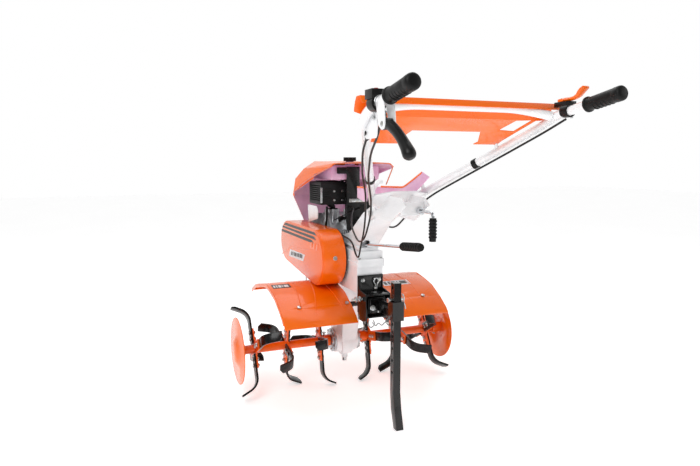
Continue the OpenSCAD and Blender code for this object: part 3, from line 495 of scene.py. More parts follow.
def tidy_mesh(piece: bpy.types.Object, flat: float = 0.0, recalculate: bool = True) -> None:
    """Welds a piece's doubled corners and turns its faces outwards.

    Args:
        piece: The piece.
        flat: Faces that meet within this angle, in radians, become one.
        recalculate: Whether the faces are turned outwards.
    """
    with editing(piece):
        bpy.ops.mesh.select_all(action="SELECT")
        bpy.ops.mesh.remove_doubles(threshold=0.00001)
        if flat:
            bpy.ops.mesh.dissolve_limited(angle_limit=flat)
        if recalculate:
            bpy.ops.mesh.normals_make_consistent(inside=False)


def soften(piece: bpy.types.Object, round_mm: float, segments: int = 2, angle: float = 32) -> None:
    """Rounds a piece's sharp edges as paint or a mould does.

    Args:
        piece: The piece.
        round_mm: Width of the rounding in millimetres.
        segments: Steps across it.
        angle: Edges sharper than this many degrees are rounded.
    """
    modify(piece, "BEVEL", width=round_mm * MM, segments=segments, limit_method="ANGLE",
           angle_limit=math.radians(angle), use_clamp_overlap=True, harden_normals=False)


def settle(
    piece: bpy.types.Object, name: str, finish: Finishes, body: str | None, stands_for: Iterable[str] = (),
    round_mm: float = 0.0, smooth: float = 38,
) -> bpy.types.Object:
    """Names a finished piece, dresses it and lets it ride on its body.

    Args:
        piece: The finished mesh.
        name: The piece's name.
        finish: What it is made of. Nothing changes where the piece already has materials.
        body: The CAD body that carries it, or None where the piece runs between two bodies and rides on neither.
        stands_for: CAD nodes that it replaces.
        round_mm: Rounding of its edges in millimetres.
        smooth: Faces that meet within this angle in degrees are shaded as one surface.

    Returns:
        The piece.
    """
    piece.name = name
    piece.data.name = name
    if round_mm:
        soften(piece, round_mm)
    take(piece)
    bpy.ops.object.transform_apply(location=True, rotation=True, scale=True)
    bpy.ops.object.shade_smooth_by_angle(angle=math.radians(smooth))
    if not piece.data.materials:
        piece.data.materials.append(finish.material())
    if body:
        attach(piece, body)
    if stands_for:
        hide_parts(*stands_for)
    LOG.info("made %s on %s, %d faces", name, body, len(piece.data.polygons))
    return piece


def refined(
    node: str, finish: Finishes, round_mm: float = 0.8, inner: Finishes | None = None,
    inside: Callable[[Vector, Vector], bool] | None = None, segments: int = 2, angle: float = 32,
) -> bpy.types.Object:
    """Makes a finer copy of a CAD node with rounded edges, which stands for it.

    Args:
        node: The CAD node.
        finish: Its outer finish.
        round_mm: Rounding of its edges in millimetres.
        inner: The finish of its inner faces, if they differ.
        inside: Tells from a face's centre and normal whether it is an inner face.
        segments: Steps across the rounding.
        angle: Edges sharper than this many degrees are rounded.

    Returns:
        The piece.
    """
    source = frame["nodes"][node]
    piece = bpy.data.objects.new(node + "_finished", source.data.copy())
    bpy.context.scene.collection.objects.link(piece)
    take(piece)
    bpy.ops.mesh.customdata_custom_splitnormals_clear()
    tidy_mesh(piece, flat=0.012, recalculate=False)
    piece.data.materials.clear()
    piece.data.materials.append(finish.material())
    if inner and inside:
        piece.data.materials.append(inner.material())
        for face in piece.data.polygons:
            face.material_index = int(inside(face.center, face.normal))
    if round_mm:
        soften(piece, round_mm, segments, angle)
    body = source["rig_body"]
    return settle(piece, node + "_finished", finish, body, [node])


def block(name: str, low: Vector, high: Vector) -> bpy.types.Object:
    """Starts a piece from a cube that fills the space between two corners."""
    clear_selection()
    bpy.ops.mesh.primitive_cube_add(size=1, location=(low + high) / 2, scale=high - low)
    piece = bpy.context.object
    piece.name = name
    bpy.ops.object.transform_apply(location=True, rotation=True, scale=True)
    return piece


def plate(name: str, outline: Sequence[Vector], depth: Vector) -> bpy.types.Object:
    """Cuts a flat plate to an outline.

    Args:
        name: The piece's name.
        outline: Its corners in order.
        depth: The way and distance that it is thick.

    Returns:
        The plate, closed, with its faces outwards.
    """
    clear_selection()
    bpy.ops.mesh.primitive_circle_add(vertices=len(outline), radius=1, fill_type="NGON", location=(0, 0, 0))
    piece = bpy.context.object
    piece.name = name
    with editing(piece):
        bpy.ops.mesh.select_mode(type="VERT")
        mesh = bmesh.from_edit_mesh(piece.data)
        for index, place in enumerate(outline):
            mesh.verts.ensure_lookup_table()
            for corner in mesh.verts:
                corner.select_set(corner.index == index)
            bmesh.update_edit_mesh(piece.data)
            bpy.ops.transform.translate(value=tuple(place - mesh.verts[index].co))
            mesh = bmesh.from_edit_mesh(piece.data)
        bpy.ops.mesh.select_all(action="SELECT")
        slide(depth)
        bpy.ops.mesh.select_all(action="SELECT")
        bpy.ops.mesh.normals_make_consistent(inside=False)
    return piece


def turned(
    name: str, start: Vector, way: Vector, profile: Sequence[tuple[float, float]], sides: int = 32
) -> bpy.types.Object:
    """Turns a closed round piece on its axis.

    Args:
        name: The piece's name.
        start: Where its axis starts.
        way: The axis's direction.
        profile: Distance along the axis and radius of each ring, in millimetres.
        sides: Corners of each ring.

    Returns:
        The turned piece.
    """
    clear_selection()
    way = way.normalized()
    turn = way.to_track_quat("Z", "Y").to_euler()
    first = start + way * profile[0][0] * MM
    bpy.ops.mesh.primitive_circle_add(
        vertices=sides, radius=profile[0][1] * MM, fill_type="NGON", location=first, rotation=turn
    )
    piece = bpy.context.object
    bpy.ops.object.transform_apply(location=True, rotation=True, scale=True)
    with editing(piece):
        bpy.ops.mesh.select_all(action="SELECT")
        for (s0, r0), (s1, r1) in zip(profile, profile[1:]):
            slide(way * (s1 - s0) * MM)
            if abs(r1 - r0) > 1e-6:
                scale = max(r1, 0.01) / max(r0, 0.01)
                bpy.ops.transform.resize(value=(scale,) * 3, center_override=tuple(start + way * s1 * MM))
        bpy.ops.mesh.select_all(action="SELECT")
        bpy.ops.mesh.normals_make_consistent(inside=False)
    piece.name = name
    return piece


def smooth_route(points: Sequence[Vector], ease: float, steps: int = 5) -> list[Vector]:
    """Rounds each corner of a route.

    Args:
        points: The route's corners.
        ease: How far each side of a corner the rounding reaches, in metres.
        steps: Points across each rounding.

    Returns:
        The rounded route.
    """
    route = [points[0]]
    for before, here, after in zip(points, points[1:], points[2:]):
        a = here + (before - here).normalized() * min(ease, 0.45 * (before - here).length)
        b = here + (after - here).normalized() * min(ease, 0.45 * (after - here).length)
        for step in range(steps + 1):
            u = step / steps
            route.append(a * (1 - u) ** 2 + here * 2 * u * (1 - u) + b * u**2)
    return route + [points[-1]]


def swept(
    name: str, route: Sequence[Vector], radius_mm: float, sides: int = 10, radii: Sequence[float] | None = None
) -> bpy.types.Object:
    """Sweeps a round bar along a route.

    Args:
        name: The piece's name.
        route: The points of its centreline.
        radius_mm: Its radius in millimetres.
        sides: How round it is.
        radii: A factor of the radius at each point.

    Returns:
        The bar as a closed mesh.
    """
    curve = bpy.data.curves.new(name, "CURVE")
    curve.dimensions = "3D"
    curve.bevel_depth = radius_mm * MM
    curve.bevel_resolution = max(1, sides // 4)
    curve.use_fill_caps = True
    line = curve.splines.new("POLY")
    line.points.add(len(route) - 1)
    for index, place in enumerate(route):
        line.points[index].co = (*place, 1)
        line.points[index].radius = radii[index] if radii else 1
    piece = bpy.data.objects.new(name, curve)
    bpy.context.scene.collection.objects.link(piece)
    take(piece)
    bpy.ops.object.convert(target="MESH")
    piece = bpy.context.object
    tidy_mesh(piece)
    return piece


def joined(name: str, pieces: Sequence[bpy.types.Object]) -> bpy.types.Object:
    """Joins finished meshes into one piece that keeps each one's material."""
    clear_selection()
    for piece in pieces:
        piece.select_set(True)
    bpy.context.view_layer.objects.active = pieces[0]
    bpy.ops.object.join()
    pieces[0].name = name
    return pieces[0]


def painted(piece: bpy.types.Object, finish: Finishes) -> bpy.types.Object:
    """Gives a mesh its only material before it is joined to others."""
    piece.data.materials.clear()
    piece.data.materials.append(finish.material())
    return piece


def copied(piece: bpy.types.Object, move: Matrix) -> bpy.types.Object:
    """Copies a mesh to another place, with its own mesh.

    Args:
        piece: The mesh to copy.
        move: The change of place. Its faces are turned back outwards where it mirrors.

    Returns:
        The copy.
    """
    copy = bpy.data.objects.new(piece.name + "_copy", piece.data.copy())
    bpy.context.scene.collection.objects.link(copy)
    copy.data.transform(move)
    if move.determinant() < 0:
        copy.data.flip_normals()
    return copy


def mirrored(piece: bpy.types.Object) -> bpy.types.Object:
    """Copies a mesh to the other side of the machine."""
    return copied(piece, Matrix.Diagonal((-1, 1, 1, 1)))


def hex_head(place: Vector, way: Vector, across: float, high: float) -> bpy.types.Object:
    """Makes a flanged hexagon head with its corners chamfered.

    Args:
        place: Where its underside sits.
        way: The way that it points.
        across: Its width across flats in millimetres.
        high: Its height in millimetres.

    Returns:
        The head as one mesh.
    """
    way = way.normalized()
    flange = turned("flange", place, way, [(0, across * 0.62), (0.8, across * 0.66), (1.6, across * 0.56)], 20)
    head = turned("head", place, way, [(1.2, across * 0.57), (high - 1, across * 0.57), (high, across * 0.48),
                                       (high + 0.01, across * 0.36), (high - 0.5, across * 0.32)], 6)
    return painted(joined("hex_head", [flange, head]), Finishes.ZINC)


# ---------- sub-assemblies ----------


@dataclass
class BeltDrive:
    """The pressed belt cover with its printed stripes, plain badge and raised bead."""

    face_x: float = -150.0
    film: float = 0.35
    stripes: tuple[tuple[Point, ...], ...] = (
        ((304, 601), (276, 609), (-92, 609), (-116, 599), (303, 598)),
        ((329, 585), (321, 593), (-88, 593), (-112, 582)),
        ((343, 567), (336, 577), (-62, 577), (-86, 566)),
    )
    badge: tuple[Point, ...] = ((217, 505), (20, 510), (44, 481), (236, 474))
    bead: tuple[Point, ...] = ((336, 470), (246, 500), (208, 519), (20, 529), (-20, 536), (-78, 552))

    def build(self) -> None:
        """Makes the cover, its films, bead and rim bolt."""
        refined("belt_cover", Finishes.ORANGE_SHEET, 2.2, Finishes.BLACK_STEEL, self._is_inner, 3, 25)
        refined("belt_backplate", Finishes.BLACK_STEEL, 0.6)
        for index, outline in enumerate(self.stripes):
            self._film(f"cover_stripe_{index + 1}", outline, Finishes.BLACK_VINYL, self.film)
        self._film("cover_badge", self.badge, Finishes.PALE_VINYL, self.film)
        self._badge_marks()
        self._bead()
        self._embossed()
        bolt = hex_head(at(-104, -182.5, 524), Vector((0, -1, 0.12)), 12, 6)
        settle(bolt, "cover_rim_bolt", Finishes.ZINC, "chassis")

    @staticmethod
    def _is_inner(centre: Vector, normal: Vector) -> bool:
        """Tells the cover's inner faces."""
        return normal.x > 0.6

    def _film(self, name: str, outline: Sequence[Point], finish: Finishes, proud: float) -> None:
        """Lays a thin printed film on the cover's outer face.

        Args:
            name: The piece's name.
            outline: Its corners as Y and Z in millimetres.
            finish: What it is printed on.
            proud: How far it stands off the face in millimetres.
        """
        corners = [at(self.face_x + 0.1, y, z) for y, z in outline]
        film = plate(name, corners, Vector((-(proud + 0.1) * MM, 0, 0)))
        settle(film, name, finish, "chassis")

    def _badge_marks(self) -> None:
        """Prints plain dark bars on the badge in place of lettering."""
        bars = []
        for start, width in ((200, 16), (178, 9), (160, 34), (118, 24), (88, 36)):
            y0, y1 = start, start - width
            z = 495 + (y0 - 128) * -0.06
            corners = [at(self.face_x - 0.2, y, zz) for y, zz in
                       ((y0, z + 7), (y1, z + 8), (y1 + 3, z - 7), (y0 + 3, z - 8))]
            bars.append(painted(plate("bar", corners, Vector((-0.4 * MM, 0, 0))), Finishes.BLACK_VINYL))
        settle(joined("badge_bars", bars), "cover_badge_bars", Finishes.BLACK_VINYL, "chassis")

    def _bead(self) -> None:
        """Raises the pressed bead across the cover's face."""
        route = smooth_route([at(self.face_x + 1.2, y, z) for y, z in self.bead], 0.018)
        settle(swept("bead", route, 2.2, 12), "cover_pressed_bead", Finishes.ORANGE_SHEET, "chassis")

    def _embossed(self) -> None:
        """Raises three plain slanted pads behind the badge."""
        pads = []
        for y in (-48, -80, -112):
            corners = [at(self.face_x + 0.4, yy, z) for yy, z in
                       ((y, 568), (y - 24, 570), (y - 17, 547), (y + 7, 545))]
            pad = plate("pad", corners, Vector((-1.6 * MM, 0, 0)))
            soften(pad, 1.0, 3)
            pads.append(painted(pad, Finishes.ORANGE_SHEET))
        settle(joined("pads", pads), "cover_embossed_pads", Finishes.ORANGE_SHEET, "chassis")


@dataclass
class Fenders:
    """The two pressed fenders with creases, rolled lips and plain labels."""

    line: tuple[Point, ...] = (
        (212, 352), (205, 358), (150, 383), (100, 395), (50, 405), (-20, 415.5), (-77, 405.5), (-140, 390),
        (-205, 356), (-250, 325), (-266, 307),
    )
    creases: tuple[tuple[float, float, float, float], ...] = (
        (214, 242, 60, -232), (106, 84, 60, -244), (150, 196, -30, -236),
    )
    lip_radius: float = 3.2

    def build(self) -> None:
        """Makes both fenders and what is on them."""
        for side, name in ((1, "fender_right"), (-1, "fender_left")):
            refined(name, Finishes.ORANGE_SHEET, 0.6, segments=2, angle=50)
            self._creases(side)
        refined("fender_stays", Finishes.BLACK_STEEL, 0.8)
        self._label("fender_label_right", 120, 232, -84, -122)
        self._label("fender_label_left", -300, -232, -32, -68)
        self._hook()

    def height(self, y: float) -> float:
        """Gives the top of the sheet.

        Args:
            y: Millimetres forwards of the axle.

        Returns:
            Its height in millimetres.
        """
        for (y0, z0), (y1, z1) in zip(self.line, self.line[1:]):
            if y1 <= y <= y0:
                return z0 + (z1 - z0) * (y0 - y) / (y0 - y1)
        return self.line[-1][1]

    def _creases(self, side: int) -> None:
        """Presses the creases of one fender and rolls its front lip.

        Args:
            side: 1 for the right fender and -1 for the left.
        """
        parts = []
        for x0, x1, y0, y1 in self.creases:
            route = []
            for step in range(25):
                u = step / 24
                y = y0 + (y1 - y0) * u
                route.append(at(side * (x0 + (x1 - x0) * u**1.6), y, self.height(y) - 0.6))
            ends = [0.2 + 0.8 * min(1, step / 4, (24 - step) / 4) for step in range(25)]
            parts.append(painted(swept("crease", route, 1.9, 8, ends), Finishes.ORANGE_SHEET))
        lip = [at(side * x, 211, 351 - abs(x - 180) * 0.004) for x in range(52, 314, 20)] + [at(side * 313, 211, 350)]
        parts.append(painted(swept("lip", lip, self.lip_radius, 12), Finishes.ORANGE_SHEET))
        edge = [at(side * 313.4, y, self.height(y) - 0.9) for y in range(205, -262, -12)]
        parts.append(painted(swept("edge", edge, 1.6, 8), Finishes.ORANGE_SHEET))
        name = "right" if side > 0 else "left"
        settle(joined("creases", parts), f"fender_creases_{name}", Finishes.ORANGE_SHEET, "chassis")

    def _label(self, name: str, x0: float, x1: float, y0: float, y1: float) -> None:
        """Lays a plain label with bars on a fender.

        Args:
            name: The piece's name.
            x0: Its inner edge in millimetres.
            x1: Its outer edge.
            y0: Its front edge.
            y1: Its rear edge.
        """
        def on_sheet(x: float, y: float, lift: float) -> Vector:
            """Gives a place on the sheet, lifted off it."""
            return at(x, y, self.height(y) + lift)

        base = plate("base", [on_sheet(x, y, 0.1) for x, y in ((x0, y0), (x1, y0), (x1, y1), (x0, y1))],
                     Vector((0, 0, 0.3 * MM)))
        parts = [painted(base, Finishes.PALE_VINYL if x0 > 0 else Finishes.BLACK_VINYL)]
        wide = x1 - x0
        for share, part in ((0.06, 0.1), (0.22, 0.07), (0.34, 0.16), (0.55, 0.05), (0.66, 0.24)):
            a, b = x0 + wide * share, x0 + wide * (share + part)
            front, back = y0 + (y1 - y0) * 0.2, y0 + (y1 - y0) * 0.8
            bar = plate("bar", [on_sheet(x, y, 0.35) for x, y in ((a, front), (b, front), (b, back), (a, back))],
                        Vector((0, 0, 0.25 * MM)))
            parts.append(painted(bar, Finishes.BLACK_VINYL if x0 > 0 else Finishes.PALE_VINYL))
        settle(joined("label", parts), name, Finishes.PALE_VINYL, "chassis")

    def _hook(self) -> None:
        """Bends the small wire hook in front of the left fender."""
        route = smooth_route([at(-104, 150, 381), at(-104, 150, 424), at(-104, 132, 438), at(-104, 118, 424),
                              at(-104, 124, 412)], 0.01)
        settle(swept("hook", route, 2.2, 10), "fender_wire_hook", Finishes.ZINC, "chassis")


@dataclass
class Rotor:
    """Tubes, blades, bolts and end discs of the tilling rotor."""

    def build(self) -> None:
        """Refines the rotor's parts."""
        refined("rotor_tubes", Finishes.ORANGE_STEEL, 0.7)
        for name in ("tines_inner", "tines_middle", "tines_outer"):
            refined(name, Finishes.BLACK_FORGED, 0.9)
        refined("tine_bolts", Finishes.ZINC, 0.35, segments=1)
        refined("side_discs", Finishes.ORANGE_SHEET, 0.7, segments=2, angle=40)


@dataclass
class Bonnet:
    """The faceted engine bonnet, orange outside and unpainted inside."""

    centre: Point = (55, 150, 760)
    rim: tuple[Point, ...] = (
        (-99, 316, 738), (-97, 200, 776), (-88, 100, 806), (-76, -52, 843), (-61, -57, 857), (55, -58, 862),
        (171, -57, 857), (186, -52, 843), (180, -6, 775),
    )

    def build(self) -> None:
        """Makes the two-tone shell and its rolled rim."""
        refined("bonnet", Finishes.ORANGE_ABS, 2.0, Finishes.LILAC_PLASTIC, self._is_inner, 3, 12)
        refined("fuel_tank", Finishes.LILAC_PLASTIC, 5.0, segments=4)
        route = smooth_route([at(*place) for place in self.rim], 0.012)
        settle(swept("rim", route, 2.4, 10), "bonnet_rolled_rim", Finishes.SALMON_EDGE, "chassis")
        refined("fuel_cap", Finishes.BLACK_NYLON, 0.5)

    def _is_inner(self, centre: Vector, normal: Vector) -> bool:
        """Tells a face that looks into the bonnet."""
        return normal.dot(centre - at(*self.centre)) < 0


@dataclass
class Shroud:
    """The plastic sides over the handlebar bracket."""

    edge: tuple[Point, ...] = ((-246, 778), (-413, 783), (-470, 806), (-532, 832))
    left_edge: tuple[Point, ...] = ((-246, 778), (-316, 779))

    def build(self) -> None:
        """Makes the shroud with orange edges."""
        refined("rear_shroud", Finishes.LILAC_PLASTIC, 0.8)
        for side, x, edge in (("left", -44.7, self.left_edge), ("right", 44.7, self.edge)):
            route = smooth_route([at(x, y, z) for y, z in edge], 0.014)
            settle(swept("edge", route, 3.4, 12), f"shroud_edge_{side}", Finishes.ORANGE_ABS, "handlebars")


@dataclass
class Engine:
    """Silencer, cylinder, crankcase and their small fittings."""

    silencer_back: float = 48.0
    screws: tuple[Point, ...] = ((-19, 749), (16, 749), (-19, 714), (16, 714))

    def build(self) -> None:
        """Refines the castings and adds the silencer's fittings."""
        refined("muffler", Finishes.BLACK_HEAT_PAINT, 3.0, segments=3)
        refined("crankcase", Finishes.ALUMINIUM, 3.0, segments=3)
        refined("cylinder_head", Finishes.ALUMINIUM, 0.6)
        refined("recoil_housing", Finishes.BLACK_NYLON, 1.6, segments=3)
        refined("carburettor", Finishes.BLACK_NYLON, 2.0, segments=3)
        refined("tank_bracket", Finishes.BLACK_STEEL, 1.0)
        refined("engine_frame", Finishes.BLACK_STEEL, 1.0)
        self._silencer_fittings()
        self._shroud_plate()
        self._linkage()
        self._studs()

    def _silencer_fittings(self) -> None:
        """Adds the screws, a zinc strip whose bright colour paints the highlight along the silencer's left edge, and
        the stamped ribs of the silencer.
        """
        back = Vector((0, -1, 0))
        parts = [hex_head(at(x, self.silencer_back + 0.6, z), back, 7, 4) for x, z in self.screws]
        # Painted highlight: this bright zinc strip stands in for the highlight along the silencer's left edge.
        strip = block("strip", at(-75.6, 45.6, 704), at(-68.5, 49.5, 764))
        soften(strip, 1.2, 3)
        parts.append(painted(strip, Finishes.ZINC))
        for z in range(708, 760, 10):
            rib = turned("rib", at(-64, 48.2, z), Vector((1, 0, 0)), [(0, 0.6), (3, 2.0), (30, 2.0), (33, 0.6)], 10)
            parts.append(painted(rib, Finishes.BLACK_HEAT_PAINT))
        outlet = turned("outlet", at(-2, 50, 732), back,
                        [(0, 14), (1.5, 14), (3, 12.5), (3.2, 9), (0.5, 8.4)], 28)
        parts.append(painted(outlet, Finishes.BLACK_HEAT_PAINT))
        for x in range(-50, 30, 12):
            slot = block("fin", at(x, 55, 784.5), at(x + 4, 180, 788))
            soften(slot, 1.2, 2)
            parts.append(painted(slot, Finishes.BLACK_HEAT_PAINT))
        settle(joined("silencer_fittings", parts), "silencer_fittings", Finishes.ZINC, "chassis")

    def _shroud_plate(self) -> None:
        """Adds the pale cooling shroud below the silencer."""
        outline = [at(-78, y, z) for y, z in ((200, 690), (92, 690), (76, 672), (82, 640), (190, 618))]
        piece = plate("cooling_shroud", outline, Vector((3 * MM, 0, 0)))
        soften(piece, 1.0, 2)
        settle(piece, "cooling_shroud", Finishes.WHITE_ENAMEL, "chassis")

    def _linkage(self) -> None:
        """Adds the governor link, its plate and the stay beside the tank bracket."""
        link = block("link", at(22, -6.5, 708), at(96, -3.5, 722))
        soften(link, 1.2, 3)
        parts = [painted(link, Finishes.ZINC)]
        parts += [hex_head(at(x, -6.2, 715), Vector((0, -1, 0)), 8, 4) for x in (30, 88)]
        rod = smooth_route([at(58, -8, 640), at(34, -10, 606), at(16, -12, 575)], 0.01)
        parts.append(painted(swept("rod", rod, 2.6, 8), Finishes.BLACK_STEEL))
        brace = smooth_route([at(74, -6, 686), at(20, -8, 668), at(-30, 20, 640)], 0.02)
        parts.append(painted(swept("brace", brace, 2.2, 8), Finishes.BLACK_STEEL))
        settle(joined("linkage", parts), "governor_linkage", Finishes.ZINC, "chassis")

    def _studs(self) -> None:
        """Adds the tall studs, rod and bolts round the cylinder."""
        parts = []
        for x, y in ((-44, 84), (-18, 70), (6, 76), (26, 60)):
            stud = turned("stud", at(x, y, 622), Vector((0.04, -0.05, 1)),
                          [(0, 5), (10, 5), (12, 3.4), (44, 3.4), (46, 5.4), (54, 5.4), (56, 4.4)], 14)
            parts.append(painted(stud, Finishes.ALUMINIUM))
        rod = [at(-46, 58, 690), at(-47, 58, 640), at(-50, 66, 600)]
        parts.append(painted(swept("breather", smooth_route(rod, 0.01), 4.6, 12), Finishes.RUBBER))
        for index in range(7):
            fin = block("fin", at(-12 + 9 * index, -2, 572), at(-8.5 + 9 * index, 52, 598))
            soften(fin, 0.8, 2)
            parts.append(painted(fin, Finishes.ALUMINIUM))
        settle(joined("studs", parts), "cylinder_studs_and_fins", Finishes.ALUMINIUM, "chassis")


@dataclass
class Gearcase:
    """The white gearcase, its caps and the handlebar column."""

    taper_top: float = 262.0
    taper_long: float = 150.0
    taper_share: float = 0.62
    bore_kept: float = 50.0
    side_kept: float = 30.0

    def build(self) -> None:
        """Refines the castings."""
        self._case()
        refined("gearbox_top_cover", Finishes.WHITE_CASTING, 4.0, segments=4)
        refined("bearing_caps", Finishes.ALUMINIUM, 1.2, segments=3)
        refined("handlebar_column", Finishes.WHITE_CASTING, 3.0, segments=3)
        refined("fixing_bolts", Finishes.ZINC, 0.4)
        self._cap_screws()
        self._cover_rib()

    def _case(self) -> None:
        """Draws the case's lower end in to the drain boss and casts round bosses for the output bearings."""
        case = refined("gearbox_housing", Finishes.WHITE_CASTING)
        for corner in case.data.vertices:
            drop = min(1.0, max(0.0, (self.taper_top * MM - corner.co.z) / (self.taper_long * MM)))
            out = math.hypot(corner.co.y - AXLE.y, corner.co.z - AXLE.z)
            if drop > 0 and out > self.bore_kept * MM and abs(corner.co.x) > self.side_kept * MM:
                corner.co.x *= 1 - self.taper_share * drop
        soften(case, 3.0, 3)
        parts = [case]
        for side in (-1, 1):
            profile = [(0, 53), (20, 50), (34, 48.5), (35.5, 47)]
            boss = turned("boss", at(side * 8.4, 0, 170), Vector((side, 0, 0)), profile, 48)
            parts.append(painted(boss, Finishes.WHITE_CASTING))
        settle(joined("case", parts), "gearbox_housing_finished", Finishes.WHITE_CASTING, "chassis",
               ["gearbox_housing"])

    def _cap_screws(self) -> None:
        """Adds the screws and circlips on the output caps."""
        for side, name in ((-1, "left"), (1, "right")):
            heads = []
            for k in range(6):
                angle = math.radians(60 * k + 30)
                place = at(side * 57.5, 38 * math.sin(angle), 170 + 38 * math.cos(angle))
                heads.append(hex_head(place, Vector((side, 0, 0)), 7, 4))
            settle(joined("cap_screws", heads), f"cap_screws_{name}", Finishes.ZINC, "chassis")

    def _cover_rib(self) -> None:
        """Adds the raised seam between the case and its top cover."""
        seam = block("seam", at(-52.5, -258, 509), at(52.5, -60, 517))
        soften(seam, 2.5, 3)
        settle(seam, "case_seam_flange", Finishes.WHITE_CASTING, "chassis")


@dataclass
class Hitch:
    """Hitch bracket, box and drag bar with pins and clips."""


    def build(self) -> None:
        """Refines the hitch and adds its cheeks, bolts and wire clips."""
        for name, rounding in (("hitch_bracket", 1.5), ("hitch_box", 1.5), ("drag_bar", 1.6)):
            refined(name, Finishes.BLACK_GLOSS, rounding, segments=3)
        refined("drag_bar_pin", Finishes.ZINC, 0.4)
        self._cheeks()
        self._box_bolts()
        self._clips()

    def _cheeks(self) -> None:
        """Adds the side cheeks and the ribbed jaws of the bracket."""
        parts = []
        for x in (-47, 42):
            outline = [at(x, y, z) for y, z in ((-250, 462), (-258, 462), (-262, 425), (-322, 415), (-326, 326),
                                                (-300, 316), (-252, 316))]
            cheek = plate("cheek", outline, Vector((5 * MM, 0, 0)))
            soften(cheek, 1.4, 3)
            parts.append(painted(cheek, Finishes.BLACK_GLOSS))
        for z in (409.5, 333):
            jaw = block("jaw", at(-46, -322, z), at(46, -250, z + 5.5))
            soften(jaw, 1.4, 3)
            parts.append(painted(jaw, Finishes.BLACK_GLOSS))
        for x in (-74, -62):
            nut = turned("nut", at(x, -292, 396), Vector((1, 0, 0)), [(0, 9), (1, 10), (7, 10), (8, 9)], 6)
            parts.append(painted(nut, Finishes.ZINC))
        screw = turned("screw", at(-86, -292, 396), Vector((1, 0, 0)), [(0, 3.4), (1, 4.2), (42, 4.2)], 14)
        parts.append(painted(screw, Finishes.ZINC))
        settle(joined("cheeks", parts), "hitch_cheeks", Finishes.BLACK_GLOSS, "chassis")

    def _box_bolts(self) -> None:
        """Adds the box's cover plate and bolts."""
        back = Vector((0, -1, 0))
        cover = block("cover", at(-30, -318, 349), at(30, -311.5, 399))
        soften(cover, 3.0, 3)
        parts = [painted(cover, Finishes.BLACK_GLOSS)]
        parts += [hex_head(at(x, -317.5, z), back, across, 8) for x, z, across in
                  ((-19, 368, 15), (24, 370, 13))]
        small = turned("stud", at(0, -317.5, 354), back, [(0, 4), (4, 4), (6, 2.8)], 14)
        parts.append(painted(small, Finishes.ZINC))
        settle(joined("box_bolts", parts), "hitch_box_cover", Finishes.BLACK_GLOSS, "hitch")

    def _clips(self) -> None:
        """Bends the wire clips of the hitch pins."""
        upper = [at(14, -262, 420), at(17, -263, 436), at(8, -264, 446), at(12, -265, 458), at(22, -265, 460),
                 at(30, -264, 447), at(22, -263, 437), at(23, -262, 421)]
        wavy = [at(-26, -330, 320), at(-14, -331, 305), at(-3, -331, 319), at(9, -331, 304), at(20, -331, 317),
                at(36, -330, 311)]
        second = [at(-34, -322, 330), at(-40, -324, 310), at(-28, -326, 300), at(-14, -326, 312), at(-20, -326, 326)]
        parts = [painted(swept("clip", smooth_route(route, 0.012), 2.1, 8), Finishes.ZINC)
                 for route in (upper, wavy, second)]
        end = turned("pin_end", at(18, -258, 416), Vector((0, -0.3, 1)), [(0, 6), (2, 7), (9, 7), (11, 5)], 16)
        parts.append(painted(end, Finishes.ZINC))
        settle(joined("clips", parts), "hitch_wire_clips", Finishes.ZINC, "chassis")
        bar_clip = [at(24, -455, 441), at(30, -455, 430), at(27, -455, 416), at(32, -456, 405), at(34, -456, 392)]
        wire = swept("wire", smooth_route(bar_clip, 0.006), 2.0, 8)
        settle(wire, "drag_bar_wire_clip", Finishes.ZINC, "depth_bar")


